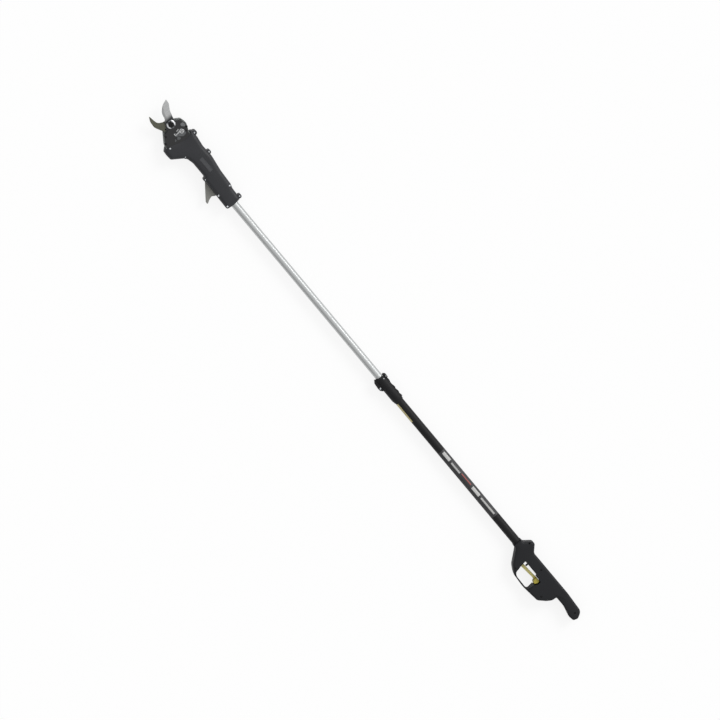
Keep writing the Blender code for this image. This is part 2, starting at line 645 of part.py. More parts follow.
def pivot_pieces():
    """Bolt from below, bright flange washer and dark nut on top."""
    head_high = CASE_LOW - CLEAR
    head_low = head_high - BOLT_HEAD_THICK
    washer_low = COVER_HIGH + CLEAR
    washer_high = washer_low + WASHER_THICK
    nut_low = washer_high + CLEAR
    bolt_top = nut_low + NUT_THICK + 1.0
    profile = [(0, head_low), (BOLT_HEAD_R, head_low), (BOLT_HEAD_R, head_high), (PIVOT_BOLT_R, head_high),
               (PIVOT_BOLT_R, bolt_top), (0, bolt_top)]
    part("pivot_bolt", turned_mesh("pivot_bolt", profile, "Z", (*PIVOT, 0), 20, False), BRIGHT_STEEL)
    part("pivot_washer", turned_mesh(
        "pivot_washer", ring_profile(PIVOT_BOLT_R + CLEAR, WASHER_R, washer_low, washer_high), "Z",
        (*PIVOT, 0), 24, True), BRIGHT_STEEL)
    nut_high = nut_low + NUT_THICK
    nut = part("pivot_nut", rod("pivot_nut", NUT_R, nut_low, nut_high, "Z", (*PIVOT, 0), 6), DARK_PLASTIC)
    cut(nut, cutter("nut_bore", rod("nut_bore", PIVOT_BOLT_R + CLEAR, nut_low - 2, nut_high + 3, "Z",
                                    (*PIVOT, 0), 20)))


def anvil(screw_hole):
    """Hooked counter blade: pivot disc, fixing lug and the hook that holds the branch."""
    hook = part("counter_blade", flat_mesh("counter_blade", [rounded(placed(ANVIL_OUTLINE, *PIVOT))],
                                           ANVIL_LOW, ANVIL_HIGH), DARK_STEEL)
    cut(hook, cutter("anvil_pivot_hole", rod("anvil_pivot_hole", PIVOT_BOLT_R + CLEAR, 0, 30, "Z",
                                             (*PIVOT, 0), 20)))
    cut(hook, screw_hole)
    part("counter_blade_screw", rod("counter_blade_screw", ANVIL_SCREW_R, ANVIL_SCREW_LOW,
                                    ANVIL_HIGH - SCREW_BELOW, "Z", (*ANVIL_SCREW, 0)), BRIGHT_STEEL)


def bevel_point(gear_r, mate_r, height, cone_distance):
    """Radius and distance from the cones' common tip, for a height above the pitch cone."""
    slope = math.atan2(gear_r, mate_r)
    radius = cone_distance * math.sin(slope) + height * math.cos(slope)
    along = cone_distance * math.cos(slope) - height * math.sin(slope)
    return radius, along


def tooth_steps(teeth, first_tooth, gear_r, tip_half, root_half, count):
    """Angles in degrees and heights of straight-sided teeth, root to tip to root."""
    pitch = 360 / teeth
    tip = math.degrees(tip_half / gear_r)
    root = math.degrees(root_half / gear_r)
    steps = []
    for k in range(count):
        middle = first_tooth + k * pitch
        steps += [(middle - root, -DEDENDUM), (middle - tip, ADDENDUM),
                  (middle + tip, ADDENDUM), (middle + root, -DEDENDUM)]
    return steps


def blade_parts():
    """Blade, its toothed sector, the two screws between them and the bronze bush, on the pivot."""
    hinge = joint_empty("blade_pivot", *PIVOT)
    pitch = 360 / SECTOR_TEETH_FULL
    last_tooth = 180 + pitch / 2
    first_tooth = last_tooth - (SECTOR_TEETH - 1) * pitch
    low_angle = first_tooth - pitch / 2
    high_angle = last_tooth + pitch / 2
    tail = arc(PIVOT, SECTOR_R + 0.5, high_angle, low_angle, 7)
    blade_corners = [*placed(BLADE_BACK, *PIVOT), *[(x, y, 0) for x, y in tail], *placed(BLADE_EDGE, *PIVOT)]
    bush_r = PIVOT_BOLT_R + CLEAR + BUSH_WALL
    blade = part("cutting_blade", flat_mesh("cutting_blade", [
        rounded(blade_corners), circle(PIVOT, bush_r + CLEAR, 20)], BLADE_LOW, BLADE_HIGH),
        BLADE_STEEL, hinge)
    part("blade_bush", turned_mesh("blade_bush", ring_profile(
        PIVOT_BOLT_R + CLEAR, bush_r, BLADE_LOW, BLADE_HIGH), "Z", (*PIVOT, 0), 20, True), BRONZE, hinge)
    steps = [(low_angle, -DEDENDUM)]
    steps += tooth_steps(SECTOR_TEETH_FULL, first_tooth, SECTOR_R, 0.62, 1.6, SECTOR_TEETH)
    steps += [(high_angle, -DEDENDUM)]
    sections = []
    for angle, height in steps:
        outer_r, outer_z = bevel_point(SECTOR_R, PINION_R, height, CONE_DISTANCE)
        inner_r, inner_z = bevel_point(SECTOR_R, PINION_R, height, CONE_DISTANCE - FACE_WIDTH)
        profile = [(outer_r, outer_z), (outer_r, ANVIL_HIGH), (SECTOR_INNER_R, ANVIL_HIGH),
                   (SECTOR_INNER_R, ANVIL_LOW + 2.5), (inner_r - 1, ANVIL_LOW + 2.5), (inner_r, inner_z)]
        sections.append([(*around(PIVOT, radius, angle), z) for radius, z in profile])
    sector = part("blade_sector_gear", swept_mesh("blade_sector_gear", sections, True, False),
                  BRIGHT_STEEL, hinge)
    for k, angle in enumerate((low_angle + 14, high_angle - 14)):
        x, y = around(PIVOT, SECTOR_INNER_R + 3.6, angle)
        name = f"sector_screw_{k + 1}"
        top = BLADE_HIGH - SCREW_BELOW
        head_low = top - SECTOR_SCREW_HEAD_DEPTH
        profile = [(0, ANVIL_LOW + 3.0), (SECTOR_SCREW_R, ANVIL_LOW + 3.0), (SECTOR_SCREW_R, head_low),
                   (SECTOR_SCREW_HEAD_R, head_low), (SECTOR_SCREW_HEAD_R, top), (0, top)]
        part(name, turned_mesh(name, profile, "Z", (x, y, 0), SMALL_FACETS, False), BRIGHT_STEEL, hinge)
        hole_r = SECTOR_SCREW_R + CLEAR
        sink_r = SECTOR_SCREW_HEAD_R + CLEAR
        hole_profile = [(0, 0), (hole_r, 0), (hole_r, head_low - CLEAR), (sink_r, head_low - CLEAR),
                        (sink_r, 30), (0, 30)]
        hole = cutter(name + "_hole", turned_mesh(name + "_hole", hole_profile, "Z", (x, y, 0),
                                                  SMALL_FACETS, False))
        cut(blade, hole)
        cut(sector, hole)


def pinion():
    """Bevel pinion with its shaft, on the motor's axis; a tooth stands in the sector's gap."""
    hinge = joint_empty("pinion_axis", PIVOT[0] - SECTOR_R, PIVOT[1])
    shaft_end = GEARBOX_X[1] - 8
    back = PIVOT[0] - SECTOR_R - 1.2
    front = PIVOT[0] - (CONE_DISTANCE - FACE_WIDTH) * SECTOR_R / CONE_DISTANCE
    sections = []
    for angle, height in tooth_steps(PINION_TEETH, 0, PINION_R, 0.5, 1.35, PINION_TEETH):
        outer_r, outer_along = bevel_point(PINION_R, SECTOR_R, height, CONE_DISTANCE)
        inner_r, inner_along = bevel_point(PINION_R, SECTOR_R, height, CONE_DISTANCE - FACE_WIDTH)
        profile = [(0, shaft_end), (PINION_SHAFT_R, shaft_end), (PINION_SHAFT_R, back),
                   (outer_r, PIVOT[0] - outer_along), (inner_r, PIVOT[0] - inner_along),
                   (0, front)]
        turn = math.radians(angle)
        sections.append([(x, PIVOT[1] + r * math.sin(turn), r * math.cos(turn)) for r, x in profile])
    part("drive_pinion", swept_mesh("drive_pinion", sections, False, True), BRIGHT_STEEL, hinge)
    part("pinion_bearing", turned_mesh("pinion_bearing", ring_profile(
        PINION_SHAFT_R + CLEAR, BEARING_R, *BEARING_X), "X", (0, PIVOT[1], 0), 24, True), BRIGHT_STEEL)


def motor_and_board():
    axis = (0, PIVOT[1], 0)
    start, end = GEARBOX_X
    gearbox_profile = [(0, start), (MOTOR_R, start), (MOTOR_R, end - 6), (MOTOR_R - 5, end - 6),
                       (MOTOR_R - 5, end), (PINION_SHAFT_R + CLEAR, end),
                       (PINION_SHAFT_R + CLEAR, end - 9), (0, end - 9)]
    part("gearbox_case", turned_mesh("gearbox_case", gearbox_profile, "X", axis, 28, False), BRIGHT_STEEL)
    start, end = MOTOR_X
    motor_profile = [(0, start), (MOTOR_R - 2, start), (MOTOR_R, start + 2), (MOTOR_R, end), (0, end)]
    part("motor_can", turned_mesh("motor_can", motor_profile, "X", axis, 28, False), BRIGHT_STEEL)
    start, end = END_CAP_X
    cap_profile = [(0, start), (8, start), (8, start + 4), (MOTOR_R - 4, start + 4),
                   (MOTOR_R - 4, end), (0, end)]
    part("motor_end_cap", turned_mesh("motor_end_cap", cap_profile, "X", axis, 28, False), DARK_PLASTIC)
    board_top = -CONNECTOR_HALF[1] - CLEAR
    board = part("control_board", flat_mesh("control_board", [
        rounded(HEAD_OUTLINE, inset=SHELL_WALL + CLEAR)], board_top - BOARD_THICK, board_top), BOARD_GREEN)
    cut(board, slab("board_rear_trim", HEAD_REAR - THROUGH, BOARD_X[0]),
        slab("board_front_trim", BOARD_X[1], PIVOT[0] + THROUGH))
    half_y, half_z = CONNECTOR_HALF
    plug = part("lead_connector", box_mesh("lead_connector", (CONNECTOR_X[0], -half_y, -half_z),
                                           (CONNECTOR_X[1], half_y, half_z)), DARK_PLASTIC)
    cut(plug, cutter("connector_bore", rod("connector_bore", LEAD_R + CLEAR, CONNECTOR_X[0] - 2,
                                           CONNECTOR_X[0] + 10, "X", (0, 0, 0), 16)))


# Pole and clamp

def tubes():
    part("inner_tube", turned_mesh("inner_tube", ring_profile(
        INNER_TUBE_R - INNER_TUBE_WALL, INNER_TUBE_R, INNER_TUBE_REAR, SOCKET_END), "X", (0, 0, 0),
        FACETS, True), SILVER, smooth=True)
    inside = INNER_TUBE_R - INNER_TUBE_WALL - CLEAR
    flange = OUTER_TUBE_R - OUTER_TUBE_WALL - CLEAR
    rear = INNER_TUBE_REAR
    guide_profile = [(LEAD_R + CLEAR, rear - 6), (flange, rear - 6), (flange, rear - CLEAR),
                     (inside, rear - CLEAR), (inside, rear + 15), (LEAD_R + CLEAR, rear + 15)]
    part("tube_end_guide", turned_mesh("tube_end_guide", guide_profile, "X", (0, 0, 0), FACETS, True),
         DARK_PLASTIC)
    part("outer_tube", turned_mesh("outer_tube", ring_profile(
        OUTER_TUBE_R - OUTER_TUBE_WALL, OUTER_TUBE_R, HANDLE_SOCKET_REAR + CLEAR, OUTER_TUBE_FRONT),
        "X", (0, 0, 0), FACETS, True), BLACK_TUBE, smooth=True)
    part("inner_lead", rod("inner_lead", LEAD_R, TERMINAL_X[1] - 8, CONNECTOR_X[0] + 9, "X",
                           (0, 0, 0), 12), RUBBER)
    low, high = STRIP_ANGLES
    inner_r = OUTER_TUBE_R + CLEAR
    sections = []
    for k in range(9):
        angle = math.radians(low + (high - low) * k / 8)
        spoke = (math.cos(angle), math.sin(angle))
        sections.append([(x, r * spoke[0], r * spoke[1]) for x, r in (
            (STRIP_X[0], inner_r), (STRIP_X[1], inner_r), (STRIP_X[1], inner_r + STRIP_THICK),
            (STRIP_X[0], inner_r + STRIP_THICK))])
    part("length_mark_strip", swept_mesh("length_mark_strip", sections, True, False), YELLOW)


def clamp():
    """Collar on the outer tube's end: split ear with a bolt on +Y, cam lever with a pad on -Y."""
    rear, front = COLLAR_X
    step = OUTER_TUBE_FRONT + CLEAR
    narrow = INNER_TUBE_R + CLEAR
    profile = [(narrow - 3, rear), (COLLAR_R - 2, rear), (COLLAR_R, rear + 3), (COLLAR_R, front),
               (narrow - 3, front)]
    collar = part("clamp_collar", turned_mesh("clamp_collar", profile, "X", (0, 0, 0), FACETS, True),
                  DARK_PLASTIC)
    bolt_x, bolt_y = CLAMP_BOLT
    ear = cutter("bolt_ear", flat_mesh("bolt_ear", [rounded([
        (bolt_x - 18, OUTER_TUBE_R, 2), (bolt_x - 8, BOLT_EAR_Y, 6), (bolt_x + 18, BOLT_EAR_Y, 10),
        (front - 2, OUTER_TUBE_R, 2)])], -BOLT_EAR_HALF, BOLT_EAR_HALF))
    pin_x, pin_y = LEVER_PIN
    lever_ear = cutter("lever_ears", flat_mesh("lever_ears", [rounded([
        (pin_x - 14, -OUTER_TUBE_R, 2), (pin_x - 6, pin_y - LEVER_EYE_R, 4),
        (pin_x + 6, pin_y - LEVER_EYE_R, 4), (front - 0.5, -OUTER_TUBE_R, 2)])],
        -EAR_HALF_WIDTH, EAR_HALF_WIDTH))
    join(collar, ear, lever_ear)
    slot_floor = pin_y + LEVER_EYE_R + CLEAR
    slot_half = LEVER_HALF_WIDTH + CLEAR
    lever_slot = cutter("lever_slot", box_mesh("lever_slot", (rear - 5, -THROUGH, -slot_half),
                                               (front + 5, slot_floor, slot_half)))
    cut(lever_slot, cutter("slot_limit", box_mesh("slot_limit", (rear - 10, -COLLAR_R, -THROUGH),
                                                  (pin_x - 9, 0, THROUGH))))
    pad_length, pad_width = PAD_HALF
    pad_window = cutter("pad_window", box_mesh(
        "pad_window", (pin_x - pad_length - CLEAR, -THROUGH, -pad_width - CLEAR),
        (pin_x + pad_length + CLEAR, -INNER_TUBE_R / 2, pad_width + CLEAR)))
    slit = cutter("collar_slit", box_mesh(
        "collar_slit", (OUTER_TUBE_FRONT - 22, INNER_TUBE_R - 3, -CLAMP_SLIT / 2),
        (front + 5, BOLT_EAR_Y + 11, CLAMP_SLIT / 2)))
    past_front = front + 5
    flare = COLLAR_FLARE * (past_front - front + COLLAR_MOUTH) / COLLAR_MOUTH
    bore_profile = [(0, rear - 5), (OUTER_TUBE_R + CLEAR, rear - 5), (OUTER_TUBE_R + CLEAR, step),
                    (narrow, step), (narrow, front - COLLAR_MOUTH), (narrow + flare, past_front),
                    (0, past_front)]
    bore = cutter("collar_bore", turned_mesh("collar_bore", bore_profile, "X", (0, 0, 0), FACETS, False))
    pin_hole = cutter("lever_pin_hole", rod("lever_pin_hole", LEVER_PIN_R + CLEAR, -EAR_HALF_WIDTH - 5,
                                            EAR_HALF_WIDTH + 5, "Z", (pin_x, pin_y, 0)))
    bolt_hole = shell_screw("clamp_bolt", bolt_x, bolt_y, CLAMP_BOLT_TOP, 1 - BOLT_EAR_HALF)
    cut(collar, lever_slot, pad_window, slit, bore, pin_hole, bolt_hole)
    part("lever_pin", rod("lever_pin", LEVER_PIN_R, -EAR_HALF_WIDTH, EAR_HALF_WIDTH, "Z", (pin_x, pin_y, 0)),
         BRIGHT_STEEL)
    part("brake_pad", box_mesh("brake_pad", (pin_x - pad_length, slot_floor, -pad_width),
                               (pin_x + pad_length, -INNER_TUBE_R - CLEAR, pad_width)), RUBBER)
    hinge = joint_empty("lever_pivot", pin_x, pin_y)
    inner_y = -COLLAR_R - CLEAR
    outer_y = inner_y - LEVER_THICK
    arm = [(pin_x + 1, pin_y + 1, 0), (pin_x - 5, inner_y, 2), (LEVER_END, inner_y, 1)]
    for k in range(LEVER_STEPS):
        x = LEVER_END + LEVER_STEP_PITCH * k
        arm += [(x, outer_y - LEVER_STEP_HEIGHT, 1), (x + LEVER_STEP_RISE, outer_y, 1)]
    arm.append((pin_x + 1, outer_y, 1))
    lever = part("lock_lever", flat_mesh("lock_lever", [rounded(arm)], -LEVER_HALF_WIDTH,
                                         LEVER_HALF_WIDTH), DARK_PLASTIC, hinge)
    join(lever, cutter("lever_eye", rod("lever_eye", LEVER_EYE_R, -LEVER_HALF_WIDTH, LEVER_HALF_WIDTH,
                                        "Z", (pin_x, pin_y, 0), 20)))
    cut(lever, cutter("lever_bore", rod("lever_bore", LEVER_PIN_R + CLEAR, -THROUGH, THROUGH, "Z",
                                        (pin_x, pin_y, 0))))


# Handle

def grip_relief(name, side):
    """Takes the grip down to its own thickness, with a slope towards the trigger housing."""
    rear = HANDLE_OUTLINE[6][0] - 20
    grip_end, full_start = GRIP_SLOPE_X
    slope = [(rear, GRIP_HALF_THICK), (grip_end, GRIP_HALF_THICK), (full_start, HALF_THICK + 1),
             (full_start, HALF_THICK + 20), (rear, HALF_THICK + 20)]
    slope = [(HANDLE_FRONT + x, z) for x, z in slope]
    sections = [[(x, y, side * z) for x, z in slope] for y in (-100, 100)]
    return cutter(name, swept_mesh(name, sections, True, False))


def handle_shells():
    spine_wall = SPINE_HALF - HANDLE_WALL
    cavity_z = HALF_THICK - HANDLE_WALL
    grip_z = GRIP_HALF_THICK - HANDLE_WALL
    cavity_front = HANDLE_SOCKET_REAR - 3
    spine = cutter("spine_cavity", flat_mesh("spine_cavity", [rounded([
        (cavity_front, -spine_wall, 2), (HANDLE_FRONT - 225, -spine_wall, 2),
        (HANDLE_FRONT - 225, spine_wall - 3, 2), (HANDLE_FRONT - 180, spine_wall, 2),
        (cavity_front, spine_wall, 2)])], -cavity_z, cavity_z))
    grip = cutter("grip_cavity", flat_mesh(
        "grip_cavity", [rounded(placed(GRIP_CAVITY, HANDLE_FRONT))], -grip_z, grip_z))
    web = cutter("web_cavity", flat_mesh(
        "web_cavity", [rounded(placed(WEB_CAVITY, HANDLE_FRONT))], -cavity_z, cavity_z))
    opening = cutter("finger_opening", flat_mesh(
        "finger_opening", [rounded(placed(FINGER_OPENING, HANDLE_FRONT))], -THROUGH, THROUGH))
    slot_half = TRIGGER_HALF_WIDTH + CLEAR + 0.2
    trigger_slot = cutter("trigger_slot", flat_mesh(
        "trigger_slot", [rounded(placed(TRIGGER_SLOT, *TRIGGER_PIVOT))], -slot_half, slot_half))
    plunger_hole = cutter("plunger_hole", rod("plunger_hole", PLUNGER_R + CLEAR, spine_wall - 2,
                                              SPINE_HALF + 2, "Y", (PLUNGER_X, 0, 0), 16))
    tube_bore = cutter("handle_tube_bore", rod("handle_tube_bore", OUTER_TUBE_R + CLEAR,
                                               HANDLE_SOCKET_REAR, HANDLE_FRONT + 5, "X", (0, 0, 0),
                                               FACETS))
    lead_bore = cutter("handle_lead_bore", rod("handle_lead_bore", LEAD_R + 3, cavity_front - 1,
                                               HANDLE_SOCKET_REAR + 1, "X", (0, 0, 0), 16))
    pin_hole = cutter("trigger_pin_hole", rod("trigger_pin_hole", TRIGGER_PIN_R + CLEAR,
                                              -PIN_HALF - CLEAR, PIN_HALF + CLEAR, "Z",
                                              (*TRIGGER_PIVOT, 0)))
    inlet_rear, inlet_front = (HANDLE_FRONT + x for x in INLET_X)
    inlet_hole = cutter("inlet_hole", rod("inlet_hole", INLET_R + CLEAR, inlet_rear - 18, inlet_front + 4,
                                          "X", (0, INLET_Y, 0), 20))
    start, end = (HANDLE_FRONT + x for x in GUARD_X)
    guard_sides = {
        1: cutter("guard_relief_top", box_mesh("guard_relief_top", (start, GUARD_Y, GUARD_HALF_WIDTH),
                                               (end, THROUGH, THROUGH))),
        -1: cutter("guard_relief_bottom", box_mesh("guard_relief_bottom", (start, GUARD_Y, -THROUGH),
                                                   (end, THROUGH, -GUARD_HALF_WIDTH))),
    }
    reliefs = {1: grip_relief("grip_relief_top", 1), -1: grip_relief("grip_relief_bottom", -1)}
    holes = []
    screws = [(HANDLE_FRONT + x, y, GRIP_HALF_THICK if x < GRIP_SLOPE_X[0] else HALF_THICK)
              for x, y in HANDLE_SCREWS]
    for k, (x, y, face) in enumerate(screws):
        sink = BUMP_SCREW_SINK if k == 0 else SCREW_SINK
        holes.append(shell_screw(f"handle_screw_{k + 1}", x, y, face - sink, -SCREW_REACH, DARK_PLASTIC))
    posts = []
    for k, (x, y, _) in enumerate((screws[2], screws[4])):
        name = f"handle_post_{k + 1}"
        post = cutter(name, rod(name, SCREW_HEAD_R + 2, -THROUGH, THROUGH, "Z", (x, y, 0)))
        posts.append(post)
    cut(spine, posts[0])
    cut(grip, posts[1])
    for name, side in (("handle_shell_upper", 1), ("handle_shell_lower", -1)):
        shell = part(name, half_mesh(name, placed(HANDLE_OUTLINE, HANDLE_FRONT), side,
                                           HANDLE_EDGE_ROUND), BLACK_PLASTIC)
        cut(shell, opening, spine, grip, web, trigger_slot, plunger_hole, tube_bore, lead_bore,
            pin_hole, inlet_hole, guard_sides[side], reliefs[side], *holes)
    part("trigger_pin", rod("trigger_pin", TRIGGER_PIN_R, -PIN_HALF, PIN_HALF, "Z", (*TRIGGER_PIVOT, 0)),
         BRIGHT_STEEL)
    hole_end = inlet_rear + INLET_HOLE_DEPTH
    inlet_profile = [(0, hole_end), (INLET_HOLE_R, hole_end), (INLET_HOLE_R, inlet_rear),
                     (INLET_R, inlet_rear), (INLET_R, inlet_front), (0, inlet_front)]
    part("battery_lead_inlet", turned_mesh("battery_lead_inlet", inlet_profile, "X", (0, INLET_Y, 0), 20,
                                           False), RUBBER)


def spring_mesh(name, low, high):
    """Compression spring round the plunger's line: a ring of wire carried along a helix."""
    steps_a_turn = 10
    wire_sides = 6
    count = SPRING_TURNS * steps_a_turn
    rise = high - low - 2 * SPRING_WIRE_R
    sections = []
    for k in range(count + 1):
        turn = 2 * math.pi * k / steps_a_turn
        y = low + SPRING_WIRE_R + rise * k / count
        ring = []
        for side in range(wire_sides):
            around_wire = 2 * math.pi * side / wire_sides
            r = SPRING_COIL_R + SPRING_WIRE_R * math.cos(around_wire)
            ring.append((PLUNGER_X + r * math.cos(turn), y + SPRING_WIRE_R * math.sin(around_wire),
                         r * math.sin(turn)))
        sections.append(ring)
    return swept_mesh(name, sections, section_closed=True, ring_closed=False)


def trigger_parts():
    hinge = joint_empty("trigger_pivot", *TRIGGER_PIVOT)
    trigger = part("trigger", flat_mesh("trigger", [rounded(placed(TRIGGER_OUTLINE, *TRIGGER_PIVOT))],
                                        -TRIGGER_HALF_WIDTH, TRIGGER_HALF_WIDTH), YELLOW, hinge)
    cut(trigger, cutter("trigger_bore", rod("trigger_bore", TRIGGER_PIN_R + CLEAR, -THROUGH, THROUGH, "Z",
                                            (*TRIGGER_PIVOT, 0))))
    spine_wall = SPINE_HALF - HANDLE_WALL
    slide = joint_empty("plunger_slide", PLUNGER_X, PLUNGER_TIP_Y)
    inner_end = PLUNGER_TIP_Y - PLUNGER_LENGTH
    part("switch_plunger", rod("switch_plunger", PLUNGER_R, inner_end, PLUNGER_TIP_Y, "Y",
                               (PLUNGER_X, 0, 0), 16), DARK_PLASTIC, slide)
    switch_x, switch_z = SWITCH_HALF
    switch = part("microswitch", box_mesh(
        "microswitch", (PLUNGER_X - switch_x, SWITCH_LOW_Y, -switch_z),
        (PLUNGER_X + switch_x, spine_wall - CLEAR, switch_z)), DARK_PLASTIC)
    cut(switch, cutter("switch_bore", rod("switch_bore", PLUNGER_R + CLEAR, SPRING_FLOOR_Y,
                                          spine_wall + 3, "Y", (PLUNGER_X, 0, 0), 16)))
    part("trigger_spring", spring_mesh("trigger_spring", SPRING_FLOOR_Y + CLEAR, inner_end - CLEAR),
         BRIGHT_STEEL)
    block = part("terminal_block", box_mesh(
        "terminal_block", (TERMINAL_X[0], -spine_wall + CLEAR, -TERMINAL_HALF),
        (TERMINAL_X[1], TERMINAL_HALF, TERMINAL_HALF)), DARK_PLASTIC)
    cut(block, cutter("terminal_bore", rod("terminal_bore", LEAD_R + CLEAR, TERMINAL_X[1] - 9,
                                           TERMINAL_X[1] + 3, "X", (0, 0, 0), 16)))


def stand_on_floor():
    """Moves the tool so that the middle of its box's underside is at the origin."""
    bpy.context.view_layer.update()
    graph = bpy.context.evaluated_depsgraph_get()
    low = Vector((1e9, 1e9, 1e9))
    high = -low
    for made in PARTS.objects:
        if made.type != "MESH":
            continue
        evaluated = made.evaluated_get(graph)
        for corner in evaluated.bound_box:
            point = evaluated.matrix_world @ Vector(corner)
            low = Vector(map(min, low, point))
            high = Vector(map(max, high, point))
    TOOL_FRAME.location = (-(low.x + high.x) / 2, -(low.y + high.y) / 2, -low.z)
    bpy.context.view_layer.update()


nose_screw_hole = head_shells()
branch_hook()
counter_blade_screw_hole = gear_case(nose_screw_hole)
pivot_pieces()
anvil(counter_blade_screw_hole)
blade_parts()
pinion()
motor_and_board()
tubes()
clamp()
handle_shells()
trigger_parts()
stand_on_floor()
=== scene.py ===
# %% [markdown]
# # Electric pole pruner on a white floor
# A small battery shear sits at the end of a silver tube, which slides in a black tube with a pistol handle.
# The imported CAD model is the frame: it gives every piece its place and moves at its joints. This lesson
# puts finely rounded pieces over it, one by one, and gives each its finish.

# %% Frame
import math

import bmesh
import bpy
import numpy as np
from mathutils import Matrix, Vector


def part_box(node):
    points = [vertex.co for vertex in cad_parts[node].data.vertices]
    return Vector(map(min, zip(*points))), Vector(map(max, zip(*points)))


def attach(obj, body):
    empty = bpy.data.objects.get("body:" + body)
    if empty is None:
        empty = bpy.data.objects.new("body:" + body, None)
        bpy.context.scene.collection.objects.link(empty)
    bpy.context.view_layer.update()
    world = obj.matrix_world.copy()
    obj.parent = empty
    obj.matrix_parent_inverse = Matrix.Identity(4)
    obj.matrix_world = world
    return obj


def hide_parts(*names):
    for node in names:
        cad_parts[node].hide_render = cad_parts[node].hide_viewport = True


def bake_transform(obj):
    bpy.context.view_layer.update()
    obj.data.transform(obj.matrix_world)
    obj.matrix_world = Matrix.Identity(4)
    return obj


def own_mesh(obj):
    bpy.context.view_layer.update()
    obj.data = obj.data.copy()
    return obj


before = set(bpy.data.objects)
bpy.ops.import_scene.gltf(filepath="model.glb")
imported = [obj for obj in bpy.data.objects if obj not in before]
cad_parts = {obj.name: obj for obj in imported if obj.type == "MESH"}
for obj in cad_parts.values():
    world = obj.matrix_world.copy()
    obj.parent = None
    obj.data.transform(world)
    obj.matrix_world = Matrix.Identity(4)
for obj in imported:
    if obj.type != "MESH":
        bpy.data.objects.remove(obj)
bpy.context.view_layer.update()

# %% [markdown]
# The tool was drawn in millimetres, counted from a point on the tubes' axis near the head. Drawing in the
# same millimetres keeps every number readable. The frame is in metres, so one function carries arrays of
# points over. The black tube's box gives the axis, and the head shell's rear end gives the place along it.

# %% Millimetres of the tool
MM = 0.001
HEAD_REAR = 14.0
tube_low, tube_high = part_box("outer_tube")
shell_low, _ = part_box("head_shell_upper")
ORIGIN = np.array([shell_low.x - HEAD_REAR * MM, (tube_low.y + tube_high.y) / 2,
                   (tube_low.z + tube_high.z) / 2])


def to_frame(points):
    """Metres of the frame = origin + millimetres of the tool / 1000, for a whole array of points."""
    return ORIGIN + np.asarray(points, float) * MM


print("the tool's origin is at", ORIGIN.round(5))

# %% [markdown]
# # Camera
# The photograph looks down on the lying tool from a little towards the shear head. Its pole runs from the
# upper left to the lower right. A long lens far away gives the nearly parallel view. The view's three axes
# are worked out from the lean of the camera and from the direction in which the pole runs across the
# picture.

# %% Camera
LEAN = math.radians(12.5)      # of the camera towards the head
POLE_ACROSS, POLE_UP = -0.641, 0.767
VIEW_WIDTH = 2.4426            # metres that the picture spans at the tool
LENS, SENSOR = 800.0, 36.0
LOOKED_AT = np.array([0.0264, 0.0011, 0.024])

toward = np.array([math.sin(LEAN), 0.0, math.cos(LEAN)])
along = np.array([math.cos(LEAN), 0.0, -math.sin(LEAN)])
right = POLE_ACROSS * along - POLE_UP * np.array([0.0, 1.0, 0.0])
right /= np.linalg.norm(right)
upward = np.cross(toward, right)
camera_place = LOOKED_AT + toward * VIEW_WIDTH * LENS / SENSOR
camera_data = bpy.data.cameras.new("photo_camera")
camera_data.lens, camera_data.sensor_width, camera_data.clip_end = LENS, SENSOR, 300
camera = bpy.data.objects.new("photo_camera", camera_data)
axes = Matrix([[right[k], upward[k], toward[k]] for k in range(3)]).to_4x4()
camera.matrix_world = Matrix.Translation(Vector(camera_place)) @ axes
bpy.context.scene.collection.objects.link(camera)
bpy.context.scene.camera = camera
print("camera", camera_place.round(3), "lens", LENS)

# %% [markdown]
# # Nodes for finishes
# A finish is a small tree of shader nodes. Colours are written as the usual hex values of a screen, and one
# function turns them to the linear values that Blender reckons with. A second function adds a node and
# gives its inputs a value or a link, so that a finish reads as a list of what it is made of.

# %% Colour and node helpers
def colour(hex_value):
    """Linear value = (c + 0.055) / 1.055 to the power 2.4 for each channel, or c / 12.92 where it is dark."""
    c = np.array([int(hex_value[k:k + 2], 16) for k in (1, 3, 5)]) / 255
    return (*np.where(c <= 0.04045, c / 12.92, ((c + 0.055) / 1.055) ** 2.4), 1.0)


def add_node(tree, kind, inputs=None, **settings):
    """Adds one node; each input gets a value, or a link where an output is given."""
    node = tree.nodes.new(kind)
    for key, value in settings.items():
        setattr(node, key, value)
    for key, value in (inputs or {}).items():
        if isinstance(value, bpy.types.NodeSocket):
            tree.links.new(value, node.inputs[key])
        else:
            node.inputs[key].default_value = value
    return node


def new_finish(name, roughness, metallic=0.0, **more):
    """A named material with its shader, whose even values are set on the shader's own sockets."""
    made = bpy.data.materials.new(name)
    made.use_nodes = True
    tree = made.node_tree
    shader = tree.nodes["Principled BSDF"]
    for key, value in {"Roughness": roughness, "Metallic": metallic, **more}.items():
        shader.inputs[key.replace("_", " ")].default_value = value
    return made, tree, shader, add_node(tree, "ShaderNodeTexCoord").outputs["Object"]


def paint(tree, shader, base, layers):
    """Lays each (tone, share from 0 to 1) over the tone below it; the last is the shader's colour."""
    below = colour(base)
    for tone, amount in layers:
        inputs = {0: amount, 6: below, 7: colour(tone)}
        below = add_node(tree, "ShaderNodeMix", inputs, data_type="RGBA").outputs[2]
    tree.links.new(below, shader.inputs["Base Color"])


SOFT = {"interpolation_type": "SMOOTHSTEP"}     # 0 at the first limit, 1 at the second, smoothly between


def noise(tree, place, grain_mm, detail=2.0, stretch=(1, 1, 1)):
    """Cloudy pattern whose spots are about grain_mm wide, drawn out along an axis by stretch."""
    scaled = add_node(tree, "ShaderNodeMapping", {"Vector": place, "Scale": [1 / s for s in stretch]}).outputs[0]
    made = add_node(tree, "ShaderNodeTexNoise", {"Vector": scaled, "Scale": 1000 / grain_mm, "Detail": detail})
    return made.outputs["Fac"]


